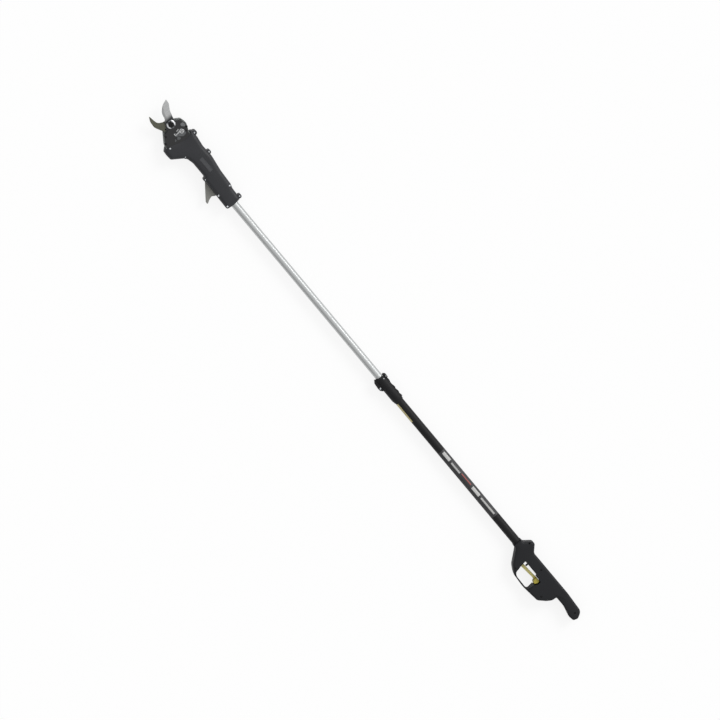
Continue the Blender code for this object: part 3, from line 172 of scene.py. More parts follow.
def fade(tree, place, axis, low, high, about=None):
    """Share between two stations on an axis of the tool, or between two distances from the station about."""
    zero = float(ORIGIN["XYZ".index(axis)])
    value = add_node(tree, "ShaderNodeSeparateXYZ", {0: place}).outputs[axis]
    if about is not None:
        inputs = {0: value, 1: zero + about * MM}
        value = add_node(tree, "ShaderNodeMath", inputs, operation="SUBTRACT").outputs[0]
        value = add_node(tree, "ShaderNodeMath", {0: value}, operation="ABSOLUTE").outputs[0]
        zero = 0.0
    limits = {0: value, 1: zero + low * MM, 2: zero + high * MM}
    return add_node(tree, "ShaderNodeMapRange", limits, **SOFT).outputs[0]


# %% [markdown]
# Nearly every real surface here is built up alike. Its tone wanders in soft clouds, a finer grain catches the
# light and may be paler on its tops, and a tone laid along a ramp across it is a real mark on some pieces and
# painted light and shade on others. One function holds this recipe, and each finish below gives it the sizes and
# tones of its own material, in millimetres on the tool.

# %% The recipe of a finish
def make_finish(name, roughness, metallic, tones, clouds, grain=None, relief=None, tops=None, contrast=None,
                mark_and_painted_light=None, rough=None, **more):
    """Clouds between two tones, a third on the grain's tops, a fourth along a ramp, which is a mark on some
    finishes and painted light and shade on others, and a bump of the grain.

    clouds and grain are (size, detail, stretch), and contrast (low, high) hardens the clouds. relief is the
    bump's (depth, strength), tops is (tone, low, high) of the grain's height, and faded is (tone, what fade
    asks for). rough is (low, high), between which the roughness follows the clouds.
    """
    made, tree, shader, place = new_finish(name, roughness, metallic, **more)
    cloud = amount = noise(tree, place, *clouds)
    if contrast:
        limits = {0: cloud, 1: contrast[0], 2: contrast[1]}
        amount = add_node(tree, "ShaderNodeMapRange", limits, **SOFT).outputs[0]
    layers = [(tones[1], amount)]
    if grain:
        height = noise(tree, place, *grain)
        inputs = {"Height": height, "Distance": relief[0] * MM, "Strength": relief[1]}
        raised = add_node(tree, "ShaderNodeBump", inputs)
        tree.links.new(raised.outputs[0], shader.inputs["Normal"])
    if tops:
        tone, low, high = tops
        peaks = add_node(tree, "ShaderNodeMapRange", {0: height, 1: low, 2: high}, **SOFT)
        layers.append((tone, peaks.outputs[0]))
    if mark_and_painted_light:
        layers.append((mark_and_painted_light[0], fade(tree, place, *mark_and_painted_light[1:])))
    if rough:
        spread = add_node(tree, "ShaderNodeMapRange", {0: cloud, 3: rough[0], 4: rough[1]})
        tree.links.new(spread.outputs[0], shader.inputs["Roughness"])
    paint(tree, shader, tones[0], layers)
    return made


# %% [markdown]
# # Surfaces from arrays
# Nearly every piece here is an outline with rounded corners that is carried upwards, or a profile turned
# about an axis. Both are grids of points, so one function makes the faces between neighbours and puts the
# whole arrays into a mesh. A hand-modelled mesh would need the same loops, but its sizes could not be
# changed by a number.

# %% Mesh of a grid
def grid_faces(rows, columns, first=0, closed_rows=False, closed_columns=True):
    """Faces between neighbours of a grid of points, numbered along its columns first."""
    index = np.arange(rows * columns).reshape(rows, columns) + first
    if closed_rows:
        index = np.concatenate([index, index[:1]])
    if closed_columns:
        index = np.concatenate([index, index[:, :1]], axis=1)
    return np.stack([index[:-1, :-1], index[:-1, 1:], index[1:, 1:], index[1:, :-1]], -1).reshape(-1, 4).tolist()


def clean(mesh, merge, turn_out=False):
    """Merges points nearer than merge, drops faces without area and may turn all faces outwards."""
    shape = bmesh.new()
    shape.from_mesh(mesh)
    bmesh.ops.remove_doubles(shape, verts=shape.verts, dist=merge)
    bmesh.ops.dissolve_degenerate(shape, edges=shape.edges, dist=merge / 2)
    if turn_out:
        bmesh.ops.recalc_face_normals(shape, faces=shape.faces)
    shape.to_mesh(mesh)
    shape.free()


def solid(name, *grids):
    """Object of one or more closed grids, each (points, closed rows, closed columns, capped)."""
    points, faces, first = [], [], 0
    for grid, closed_rows, closed_columns, capped in grids:
        rows, columns = grid.shape[:2]
        points.append(grid.reshape(-1, 3))
        faces += grid_faces(rows, columns, first, closed_rows, closed_columns)
        last = first + (rows - 1) * columns
        if capped:
            faces += [list(range(first, first + columns))[::-1], list(range(last, last + columns))]
        first = last + columns
    mesh = bpy.data.meshes.new(name)
    mesh.from_pydata(to_frame(np.concatenate(points)), [], faces)
    clean(mesh, 2e-7, turn_out=True)
    made = bpy.data.objects.new(name, mesh)
    bpy.context.scene.collection.objects.link(made)
    return made


# %% [markdown]
# Outlines are lists of corners: x, y and the radius that rounds the corner. Each corner becomes an arc, and
# each side gets evenly spaced points. The outline can be drawn in by a distance, with as many points as
# before, so that outlines at several heights can be joined into a wall whose edges are rounded too.

# %% Outlines
ARC_STEP = 7.5     # degrees between the points of an arc
FLAT_RIM = 0.25    # of a flat face inside its rounded edge, so that the shading of the edge ends there
ENDS_ONLY = 1e9    # a spacing so wide that a side keeps only its ends
# A turn of 60 or 90 degrees is a whole number of steps. Its last digit differs from call to call, and without
# this margin, in steps, it would at times give one step more, so that two rings of a plate wouldn't match.
STEP_MARGIN = 1e-6


def outline(corners, inset=0.0, spacing=4.0, closed=True):
    """Round corners: an arc of the corner's radius that touches both sides, each side moved inward by inset."""
    corners = np.array([(*corner, 0)[:3] for corner in corners], float)
    following = np.roll(corners, -1, axis=0)
    if closed and (corners[:, 0] * following[:, 1] - following[:, 0] * corners[:, 1]).sum() < 0:
        corners = corners[::-1]
    here, radius = corners[:, :2], corners[:, 2].copy()
    step = here - np.roll(here, 1, axis=0)
    length = np.hypot(*step.T)
    before = step / length[:, None]
    after = np.roll(before, -1, axis=0)
    if not closed:
        before[0], after[-1] = after[0], before[-1]
        radius[[0, -1]] = 0
    side = np.sign(before[:, 0] * after[:, 1] - before[:, 1] * after[:, 0])
    turn = np.arccos(np.clip((before * after).sum(1), -1, 1))
    normal_before, normal_after = before[:, ::-1] * [-1, 1], after[:, ::-1] * [-1, 1]
    middle = here + (normal_before + normal_after) * inset / (1 + np.cos(turn))[:, None]
    shrunk = np.where(radius > 0, np.maximum(radius - side * inset, 0), 0)
    reach = (shrunk * np.tan(turn / 2))[:, None]
    start, end = middle - before * reach, middle + after * reach
    centre = start + normal_before * (shrunk * side)[:, None]
    points = []
    for k in range(len(corners)):
        steps = max(1, math.ceil(math.degrees(turn[k]) / ARC_STEP - STEP_MARGIN)) if radius[k] > 0 else 0
        angle = side[k] * turn[k] * np.arange(steps + 1) / max(steps, 1)
        x, y = start[k] - centre[k]
        points.append(centre[k] + np.stack([np.cos(angle) * x - np.sin(angle) * y,
                                            np.sin(angle) * x + np.cos(angle) * y], 1))
        after_k = (k + 1) % len(corners)
        if closed or after_k:
            parts = max(1, int(length[after_k] / spacing))
            points.append(end[k] + (start[after_k] - end[k]) * (np.arange(1, parts) / parts)[:, None])
    return np.concatenate(points)


def shifted(corners, x, y=0.0):
    """Corners moved along both axes, their radii kept."""
    return [(x + corner[0], y + corner[1], *corner[2:]) for corner in corners]


def rectangle(x0, y0, x1, y1, radius=0.0):
    return [(x0, y0, radius), (x1, y0, radius), (x1, y1, radius), (x0, y1, radius)]


# %% Plates, turned pieces and blocks
def level(points, z):
    """The flat outline at a height, or at a height for each of its points."""
    return np.column_stack([points, np.broadcast_to(z, len(points))])


def plate(corners, low, high, edge=0.8, inset=0.0, low_edge=None, spacing=4.0, steps=3):
    """Grid of a plate: the outline carried from low to high, drawn in along a quarter circle at both edges."""
    low_edge = edge if low_edge is None else low_edge
    angle = np.linspace(0, math.pi / 2, steps + 1)
    levels = [(low + low_edge * (1 - math.sin(a)), low_edge * (1 - math.cos(a))) for a in angle[::-1]]
    levels += [(high - edge * (1 - math.sin(a)), edge * (1 - math.cos(a))) for a in angle]
    levels = [(low, low_edge + FLAT_RIM), *levels, (high, edge + FLAT_RIM)]
    rings = [level(outline(corners, inset + drawn_in, spacing), z) for z, drawn_in in levels]
    return np.stack(rings), False, True, True


def turned(profile, axis, centre=(0, 0, 0), facets=96, soft=0.0, bored=False):
    """Profile of (radius, distance along the axis) turned about it; soft is the radius of plain corners."""
    corners = [(*corner, soft if corner[0] > 0 else 0)[:3] for corner in profile]
    profile = outline(corners, spacing=ENDS_ONLY, closed=bored)
    angle = np.linspace(0, 2 * math.pi, facets, endpoint=False)[:, None]
    radius, distance = profile[:, 0], np.broadcast_to(profile[:, 1], (facets, len(profile)))
    first, second = radius * np.cos(angle), radius * np.sin(angle)
    order = {"X": (distance, first, second), "Y": (first, distance, second), "Z": (first, second, distance)}
    return np.stack(order[axis], -1) + np.array(centre), True, bored, False


def rod(radius, low, high, axis, centre=(0, 0, 0), facets=32, soft=0.0):
    """A round bar between two distances along an axis."""
    return turned([(0, low), (radius, low), (radius, high), (0, high)], axis, centre, facets, soft)


def box(low, high):
    """Eight corners of a block, for cutting."""
    ring = np.array(rectangle(*low[:2], *high[:2]), float)[:, :2]
    return np.stack([level(ring, low[2]), level(ring, high[2])]), False, True, True


# %% [markdown]
# Pockets, bores and screw holes are cut with the Boolean modifier's exact solver, and so are bosses joined
# on. The cut is applied at once, so that the piece keeps an ordinary mesh. Then the piece gets its finish,
# is tied to the body that it moves with and takes the place of its CAD node.

# %% Cutting and placing
def combine(piece, operation, *grids):
    """Applies one Boolean operation with the closed grids to the piece's mesh."""
    other = solid("tool", *grids)
    change = piece.modifiers.new("combine", "BOOLEAN")
    change.object, change.operation, change.solver = other, operation, "EXACT"
    graph = bpy.context.evaluated_depsgraph_get()
    mesh = bpy.data.meshes.new_from_object(piece.evaluated_get(graph))
    piece.modifiers.clear()
    clean(mesh, 2e-6)
    old, piece.data = piece.data, mesh
    for unused in (old, other.data):
        bpy.data.meshes.remove(unused)


def cut(piece, *grids):
    combine(piece, "DIFFERENCE", *grids)


def join(piece, *grids):
    combine(piece, "UNION", *grids)


placed_pieces = {}


def place_piece(piece, body, finish, slot, *nodes, sharp=35):
    """Finish, smooth shading up to an angle, body and the CAD nodes that the piece stands for; slot is not used.
    """
    mesh = piece.data
    mesh.materials.clear()
    mesh.materials.append(finish)
    mesh.shade_smooth()
    mesh.set_sharp_from_angle(angle=math.radians(sharp))
    if body:
        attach(piece, body)
    if nodes:
        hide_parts(*nodes)
    placed_pieces[piece.name] = len(mesh.polygons)
    return piece


# %% [markdown]
# # Silver tube
# The sliding tube is drawn aluminium with a clear anodised skin: a soft metal sheen with faint lines along
# the tube from the drawing die, and no sharp mirror image. It is a thin wall turned about the axis, with
# its two ends slightly rounded over. Long rings along it keep its shading even.

# %% Anodised aluminium and the silver tube
anodised = make_finish(
    "drawn_anodised_aluminium", 0.3, 1.0, ("#b4b6b6", "#bec0c0"), clouds=(60, 2, (3, 1, 1)),
    grain=(1.2, 3, (120, 1, 1)), relief=(0.02, 0.25), tops=("#c8caca", 0.45, 0.75))

CLEAR = 0.3
INNER_TUBE_R, INNER_WALL, INNER_REAR = 13.0, 1.2, -1000.0
OUTER_TUBE_R, OUTER_WALL, OUTER_FRONT = 15.0, 1.5, -800.0
SOCKET_END = 74.0


def tube(radius, wall, start, end):
    """A wall of even thickness turned about the axis, with rings along it and rounded ends."""
    inner, soft, stations = radius - wall, wall * 0.45, np.linspace(start, end, 17)[1:-1]
    profile = [(radius, start, soft), *[(radius, x, 0) for x in stations], (radius, end, soft),
               (inner, end, soft), *[(inner, x, 0) for x in stations[::-1]], (inner, start, soft)]
    return turned(profile, "X", bored=True)


silver_tube = solid("silver_tube", tube(INNER_TUBE_R, INNER_WALL, INNER_REAR, SOCKET_END))
place_piece(silver_tube, "extension", anodised, "silver_tube", "inner_tube")
print("silver tube", placed_pieces)

# %% [markdown]
# # Black tube
# The outer tube is aluminium with a satin black coat. A coat is smooth but never optically flat: a fine
# orange peel of about a millimetre breaks up its highlight, and handling leaves the faintest dull clouds.

# %% Black coat and the outer tube
black_coat = make_finish(
    "satin_black_powder_coat", 0.45, 0.0, ("#131314", "#1a1a1b"), clouds=(45, 3, (4, 1, 1)),
    grain=(1.4, 2, (2, 1, 1)), relief=(0.04, 0.4), rough=(0.4, 0.52), Specular_IOR_Level=0.2)

HANDLE_SOCKET_REAR = -1561.0
black_tube = solid("black_tube", tube(OUTER_TUBE_R, OUTER_WALL, HANDLE_SOCKET_REAR + CLEAR, OUTER_FRONT))
place_piece(black_tube, "root", black_coat, "black_tube", "outer_tube")

# %% [markdown]
# # Head shells
# The motor and gears lie in a pair of black shells of glass-filled nylon. Such a moulding has an even,
# slightly grained skin from the eroded tool, a rounded edge, and a gentle crown over its broad faces,
# because a dead flat wall would sink as it cools. The crown can't come from a plain extrusion. Here the
# rounded outline is drawn in to the end of the edge, and from there each ring is a blend between the
# outline and a line along the middle.

# %% Glass-filled nylon
def moulded_nylon(name, dark, pale, grain_tone, grain_mm, flow_mm, roughness, gloss):
    """Flow clouds between two tones, pale grains on top, and a bump of the eroded tool's grain."""
    return make_finish(
        name, roughness, 0.0, (dark, pale), clouds=(flow_mm, 3, (3, 1, 1)), grain=(grain_mm, 2),
        relief=(0.06, 0.5), tops=(grain_tone, 0.62, 0.8), rough=(roughness - 0.08, roughness + 0.08),
        Specular_IOR_Level=gloss)


shell_nylon = moulded_nylon("moulded_glass_filled_nylon", "#1f2023", "#292a2e", "#333438", 0.7, 38, 0.46, 0.38)

# %% Shell surface
HALF_THICK, SHELL_WALL, CROWN = 24.0, 3.0, 0.8
PARTING = CLEAR / 2


def smooth(value):
    """3t^2 - 2t^3 of a value held between 0 and 1."""
    t = np.clip(value, 0, 1)
    return t * t * (3 - 2 * t)


def shell(corners, spine, side, edge, wall=0.0, thickness=None, spacing=4.0):
    """Outer skin of one half, closed at the parting plane, or joined there to an inner skin where it has a wall.

    Up to the edge a ring is the outline drawn in by edge (1 - cos a) at the height half - edge (1 - sin a).
    Beyond it a ring is outline (1 - v) + spine v, at the height half + crown (1 - (1 - v)^2).
    """
    spine = np.array(spine, float)
    crown = CROWN if side > 0 else 0.0

    def skin(inset, half, edge):
        levels = [(inset, PARTING), (inset, (half - edge) / 2)]
        levels += [(inset + edge * (1 - math.cos(a)), half - edge * (1 - math.sin(a)))
                   for a in np.linspace(0, math.pi / 2, 9)]
        rings = [level(outline(corners, drawn_in, spacing), z) for drawn_in, z in levels]
        last = rings[-1][:, :2]
        x = np.clip(last[:, 0], spine[0, 0], spine[-1, 0])
        middle = np.column_stack([x, np.interp(x, spine[:, 0], spine[:, 1])])
        for v in np.linspace(0, 0.92, 7)[1:]:
            rings.append(level(last * (1 - v) + middle * v, half + crown * (1 - (1 - v) ** 2)))
        return rings

    inner = skin(wall, HALF_THICK - wall, edge - wall) if wall else []
    rings = np.stack(skin(0, HALF_THICK, edge)[::-1] + inner)
    if thickness:
        rings[..., 2] *= thickness(rings[..., 0], rings[..., 1])
    rings[..., 2] *= side
    return rings, False, True, True


# %% Sizes of the head
BOARD_END, CAP_START, MOTOR_START, GEARBOX_START, BAY_FRONT = 133.0, 140.0, 150.0, 236.0, 288.0
HEAD_OUTLINE = [
    (HEAD_REAR, -27, 5), (SOCKET_END - 16, -29, 14), (SOCKET_END, -34, 14), (BOARD_END - 3, -37, 60),
    (MOTOR_START + 42, -46, 40), (GEARBOX_START, -44, 40), (BAY_FRONT - 18, -49, 20),
    (BAY_FRONT + 20, -51, 8), (BAY_FRONT + 15, -36, 8), (BAY_FRONT + 12, -10, 30),
    (BAY_FRONT + 18, 14, 30), (BAY_FRONT + 29, 46, 10), (BAY_FRONT + 27, 59, 4), (BAY_FRONT + 17, 70.5, 7),
    (BAY_FRONT + 2, 71.5, 10), (BAY_FRONT - 18, 70, 9), (GEARBOX_START + 4, 27, 25),
    (MOTOR_START + 62, 19.5, 30), (MOTOR_START + 2, 19.5, 8), (CAP_START + 2, 28, 6),
    (HEAD_REAR, 31, 7), (HEAD_REAR - 4, 2, 60),
]
HEAD_SPINE = [(40, 1), (110, -4), (170, -11), (230, -10), (266, 4)]
PIVOT = np.array([365.0, -7.5])
CASE_LOW, ANVIL_LOW, ANVIL_HIGH = -18, 8.7, 13.7
BLADE_LOW, BLADE_HIGH, COVER_LOW, COVER_HIGH = 14, 18, 18.3, 21.3
CASE_OUTLINE = [
    (BAY_FRONT + CLEAR, -38, 2), (BAY_FRONT + 18, -39, 5), (PIVOT[0] - 29, -51, 9), (PIVOT[0] - 8, -45, 10),
    (PIVOT[0] + 6, -23, 8), (PIVOT[0] + 12, -6, 7), (PIVOT[0] + 2.5, 24, 5), (BAY_FRONT + 36, 53.5, 10),
    (BAY_FRONT + 21, 58.5, 4), (BAY_FRONT + CLEAR, 60, 3),
]
SIDE_BOSSES = [(22, -30, 7), (207, -46, 7.5), (290, -50, 9), (141, 22.5, 7), (245, 25, 6.5)]
BOSS_TOP = HALF_THICK - 7
BADGE, BADGE_THICK, BADGE_RIM = (153, -19, 210, -5), 0.9, 1.6
HOOK_OUTLINE = shifted([
    (0, 19, 2), (0, 33, 3), (7, 43, 6), (2, 58, 10), (-4.5, 68, 2), (-2, 71, 2), (5, 70, 3), (30, 51.5, 20),
    (60, 29, 3), (60, 19, 2)], SOCKET_END)
HOOK_HALF = 3.0

# %% [markdown]
# Small pan-head screws hold everything. They have a six-lobed recess. Each is one grid: rings run up the
# shank, over the head and down into the recess, where the ring's radius waves six times.

# %% Screws
SCREW_HEAD_R, SCREW_HEAD_DEPTH, SCREW_SINK, SCREW_REACH = 3.1, 2.4, 0.6, 13.0


def screw_hole(x, y, top, bottom):
    """Stepped hole round a screw: its shank's room below, its head's room above."""
    low, wide = top - SCREW_HEAD_DEPTH - CLEAR, SCREW_HEAD_R + CLEAR
    return turned([(0, bottom - CLEAR), (1.9, bottom - CLEAR), (1.9, low), (wide, low), (wide, top + 30),
                   (0, top + 30)], "Z", (x, y, 0), 24)


def pan_screw(x, y, top, bottom, shank=1.6, head=SCREW_HEAD_R, depth=SCREW_HEAD_DEPTH, dome=0.55):
    """Rings of (radius, height, wave); the recess has the radius r (1 + wave cos 6a)."""
    rings = [(0.01, bottom, 0), (shank * 0.6, bottom, 0), (shank, bottom + 0.6, 0), (shank, top - depth, 0),
             (head - 0.15, top - depth, 0), (head, top - depth + 0.2, 0), (head, top - dome - 0.15, 0),
             (head * 0.93, top - dome * 0.55, 0), (head * 0.8, top - dome * 0.2, 0), (head * 0.62, top, 0),
             (head * 0.5, top, 0.12), (head * 0.46, top - 0.12, 0.14), (head * 0.43, top - depth * 0.55, 0.14),
             (head * 0.3, top - depth * 0.6, 0.05), (0.01, top - depth * 0.6, 0)]
    radius, height, wave = np.array(rings).T[:, :, None]
    angle = np.linspace(0, 2 * math.pi, 36, endpoint=False)
    reach = radius * (1 + wave * np.cos(6 * angle))
    height = np.broadcast_to(height, reach.shape)
    return np.stack([x + reach * np.cos(angle), y + reach * np.sin(angle), height], -1), False, True, True


def add_screws(screws, body, finish, slot):
    """One piece for each screw, named for its CAD node, at (x, y, top, bottom)."""
    for name, place in screws.items():
        place_piece(solid(name + "_detail", pan_screw(*place)), body, finish, slot, name)
    print(len(screws), "screws on", body)


FACE_SCREW, BOSS_SCREW = (HALF_THICK - SCREW_SINK, -SCREW_REACH), (BOSS_TOP - SCREW_SINK, -SCREW_REACH)
HEAD_SCREWS = {
    "head_screw_1": (22, -30.5, *BOSS_SCREW), "head_screw_2": (23, 24, *FACE_SCREW),
    "head_screw_3": (71, 24, *FACE_SCREW), "head_screw_4": (73, -27, *FACE_SCREW),
    "head_screw_5": (207, -47.5, *BOSS_SCREW), "head_screw_6": (141, 23, *BOSS_SCREW),
    "head_screw_7": (290, -50.5, *BOSS_SCREW), "head_screw_8": (245, 26, *BOSS_SCREW),
    "nose_screw": (303, 47, HALF_THICK + 1, 8),
}

# %% [markdown]
# The screws are zinc-plated steel, with a dull fine mottle that a plating bath leaves. The blackened ones
# of the nose and the handle are oiled steel, whose smears are a few millimetres wide.

# %% Head shells and their screws
bright_steel = make_finish("bright_zinc_plated_steel", 0.28, 1.0, ("#b9bcc0", "#d5d8da"), clouds=(0.9, 3),
                           grain=(0.9, 3), relief=(0.01, 0.3))
dark_steel = make_finish("black_oxide_steel", 0.4, 0.8, ("#1a1a1b", "#2c2c2c"), clouds=(3.5, 4), grain=(3.5, 4),
                         relief=(0.02, 0.3))

for name, node, side in (("head_cover_top", "head_shell_upper", 1),
                         ("head_cover_bottom", "head_shell_lower", -1)):
    piece = solid(name, shell(HEAD_OUTLINE, HEAD_SPINE, side, 15.0, SHELL_WALL))
    join(piece, *[rod(r, side * PARTING, side * BOSS_TOP, "Z", (x, y, 0), 40, 1.2) for x, y, r in SIDE_BOSSES])
    cut(piece, plate(CASE_OUTLINE, CASE_LOW - CLEAR, COVER_HIGH + CLEAR, 0.2, -CLEAR))
    cut(piece, rod(INNER_TUBE_R + CLEAR, HEAD_REAR - 5, SOCKET_END, "X", facets=96))
    cut(piece, plate(HOOK_OUTLINE, -HOOK_HALF - CLEAR, HOOK_HALF + CLEAR, 0.1, -CLEAR))
    if side > 0:
        cut(piece, plate(rectangle(*BADGE, 3), HALF_THICK - BADGE_THICK, HALF_THICK + 5, 0.05, -CLEAR),
            *[screw_hole(*place) for place in HEAD_SCREWS.values()])
    place_piece(piece, "extension", shell_nylon, "shell_plastic", node)
print("head shells", placed_pieces)
add_screws(HEAD_SCREWS, "extension", bright_steel, "bright_steel")

# %% [markdown]
# # Badge place and branch hook
# A shallow plate lies in the upper shell. It stays bare: a slightly paler, smooth nylon with a raised rim.
# The hook that pulls branches down is a fin of grey nylon at the socket's end, six millimetres thick with
# rounded edges.

# %% Badge plate and hook
badge_nylon = make_finish("satin_grey_nylon_badge", 0.4, 0.0, ("#3c3d40", "#48494c"), clouds=(9, 3),
                          Specular_IOR_Level=0.35)
badge_low = HALF_THICK - BADGE_THICK + CLEAR
badge = solid("blank_badge", plate(rectangle(*BADGE, 3), badge_low, HALF_THICK + 0.7, 0.4))
x0, y0, x1, y1 = BADGE
field = rectangle(x0 + BADGE_RIM, y0 + BADGE_RIM, x1 - BADGE_RIM, y1 - BADGE_RIM, 2)
cut(badge, plate(field, HALF_THICK + 0.35, HALF_THICK + 2, 0.05))
place_piece(badge, "extension", badge_nylon, "grey_cast", "badge_plate")

hook_nylon = make_finish("moulded_grey_nylon", 0.5, 0.0, ("#737370", "#85857e"), clouds=(16, 3), grain=(0.8, 2),
                         relief=(0.05, 0.5))
hook = solid("branch_hook_fin", plate(HOOK_OUTLINE, -HOOK_HALF, HOOK_HALF, 1.2, spacing=2.5, steps=5))
cut(hook, rod(INNER_TUBE_R + 2 * CLEAR, HEAD_REAR, SOCKET_END + 70, "X", facets=96))
place_piece(hook, "extension", hook_nylon, "hook_plastic", "branch_hook")

# %% [markdown]
# # Gear case
# The nose is a bare die casting, blasted to an even grey skin with paler spots. Its upper half is open to the
# front, where the two blades come out, and the sector on the blade's tail turns in a round hollow behind them. A
# cover closes it. The cover is painted black, and the raised relief on it is bare metal, paler towards its
# highest parts.

# %% Cast finishes
black_casting = make_finish("painted_die_cast_magnesium", 0.42, 0.0, ("#1a1a1b", "#262627"), clouds=(14, 3),
                            grain=(1.1, 3), relief=(0.08, 0.5), Specular_IOR_Level=0.4)
case_casting = make_finish("blasted_die_cast_aluminium", 0.5, 0.7, ("#5f6360", "#85898a"), clouds=(6, 4),
                           grain=(1.3, 3), relief=(0.08, 0.6), contrast=(0.45, 0.7))
grey_casting = make_finish("bare_die_cast_aluminium", 0.42, 0.75, ("#4b4c4d", "#66686a"), clouds=(5, 4),
                           grain=(1.3, 3), relief=(0.08, 0.6), mark_and_painted_light=("#c2c3c3", "Z", 22.3, 23.2))

# %% Gear case
BOLT_R = 6.0
BOLT_HOLE = BOLT_R + CLEAR
SECTOR_R, PINION_R, ADDENDUM, LAND_R = 36.0, 9.0, 1.2, 18.0
centre = (*PIVOT, 0)
case = solid("cast_nose", plate(CASE_OUTLINE, CASE_LOW, BLADE_HIGH, 0.8, low_edge=3.0, steps=6))
sweep_r, sweep_low, land = SECTOR_R + ADDENDUM + 1.5, PINION_R - ADDENDUM - 2, ANVIL_LOW - CLEAR
cut(case, turned([(0, land), (LAND_R, land), (LAND_R, sweep_low), (sweep_r, sweep_low), (sweep_r, 30), (0, 30)],
                 "Z", centre))
cut(case, box((PIVOT[0] - LAND_R + 2, PIVOT[1] - 60, land), (PIVOT[0] + 60, PIVOT[1] + 60, 40)))
cut(case, rod(PINION_R + 2 * ADDENDUM, PIVOT[0] - 39, PIVOT[0] - 23, "X", (0, PIVOT[1], 0)))
cut(case, rod(BOLT_HOLE, -40, ANVIL_LOW - 1, "Z", centre, 40))
place_piece(case, "extension", case_casting, "black_cast", "gear_case")

# %% Cover of the gear case
cover = solid("nose_cover", plate(CASE_OUTLINE, COVER_LOW, COVER_HIGH, 1.6, 3.0, low_edge=0.3, steps=5))
mouth = shifted([(-8, 16, 3), (40, 16, 3), (40, 60, 3), (-22, 60, 3)], *PIVOT)
cut(cover, plate(mouth, COVER_LOW - 5, COVER_HIGH + 5, 0.1),
    rod(BOLT_HOLE, COVER_LOW - 3, COVER_HIGH + 3, "Z", centre, 40))
COVER_SCREWS = {f"cover_screw_{k}": (x, y, COVER_HIGH + 1.6, -2)
                for k, (x, y) in enumerate([(326, -42.5), (324.5, 48), (343, 33)], 1)}
join(cover, *[rod(5.2, COVER_LOW + 0.5, COVER_HIGH + 0.9, "Z", (x, y, 0), 40, 0.5)
              for x, y, *_ in COVER_SCREWS.values()])
cut(cover, *[screw_hole(*place) for place in COVER_SCREWS.values()])
place_piece(cover, "extension", black_casting, "grey_cast", "gear_case_cover")
add_screws(COVER_SCREWS, "extension", dark_steel, "bright_steel")

# %% Relief on the cover
RELIEF_PLATES = [
    ([(334, -26, 4), (322, -31, 4), (308, -28, 3), (306.5, -14, 3), (314, -5, 4), (321, 7, 3), (334, 8.5, 3),
      (335.5, 3, 2), (329.5, -4, 4), (334, -14, 4)], 1.1, 0.5),
    ([(347, -32, 5), (346, -43, 5), (333, -45.5, 5), (328, -39, 5), (339, -29.5, 4)], 1.2, 0.7),
    ([(318, 4, 2), (311, -5, 2), (305.5, -2, 2), (306, 6, 2), (311, 9, 2)], 0.9, 0.4),
    ([(317, 12, 1.5), (313, 18.5, 1.5), (308, 20, 1.5), (309, 13, 1.5)], 0.8, 0.4),
]
RELIEF_BARS = [(337, -17, 334, -6), (331, -24, 327, -9), (327, -9, 325, 5.5), (326, 5.5, 333.5, 5.5),
               (330.5, -24.5, 321, -28.5), (321, -28.5, 317, -21), (317, -21, 327, -12)]
RELIEF_EYE = (321.5, -19.5, 0)


def ridge(x0, y0, x1, y1, width=2.6, high=2.1):
    """A straight bar with round ends: the two ends moved sideways by half the width."""
    step = np.array([x1 - x0, y1 - y0]) / math.hypot(x1 - x0, y1 - y0)
    side = step[::-1] * [-1, 1] * width / 2
    ends = [(x0, y0) + side, (x0, y0) - side, (x1, y1) - side, (x1, y1) + side]
    return plate([(*end, width * 0.48) for end in ends], COVER_HIGH + 0.3, COVER_HIGH + high, 0.7, spacing=1.5)


relief = solid("cover_relief", *[plate(corners, COVER_HIGH + 0.05, COVER_HIGH + high, edge, spacing=1.5)
                                 for corners, high, edge in RELIEF_PLATES])
for bar_ends in RELIEF_BARS:
    join(relief, ridge(*bar_ends))
join(relief, rod(5.4, COVER_HIGH + 0.3, COVER_HIGH + 1.9, "Z", RELIEF_EYE, 48, 0.5))
cut(relief, *[rod(r, COVER_HIGH + low, COVER_HIGH + 5, "Z", place, 32, 0.1) for place, r, low in (
    (RELIEF_EYE, 3.0, 0.4), ((320.5, -3.5, 0), 2.4, 0.4), ((311, -21, 0), 1.6, 0.5))])
place_piece(relief, "extension", grey_casting, "grey_cast")
relief_screw = solid("relief_screw", pan_screw(316, -34.5, COVER_HIGH + 1.3, COVER_HIGH + 0.05, 2.2, 3.1, 1.2))
place_piece(relief_screw, "extension", dark_steel, "nut_steel")
print("gear case done,", placed_pieces["nose_cover"], "faces in its cover")

# %% [markdown]
# # Blades
# The cutting blade is ground tool steel. A flat plate gets its edge on one side only: along the cutting edge the
# upper face slopes down to a thin rim, and the back keeps its full thickness. So a few rings are enough: the
# lower face, the lower rim, the upper rim, whose height falls along the edge, and the upper face, which is drawn
# in by the width of the grind. The grind narrows to nothing near the tip and the pivot. Grinding leaves fine
# lines across the blade, and towards the pivot its colour darkens into painted shade.

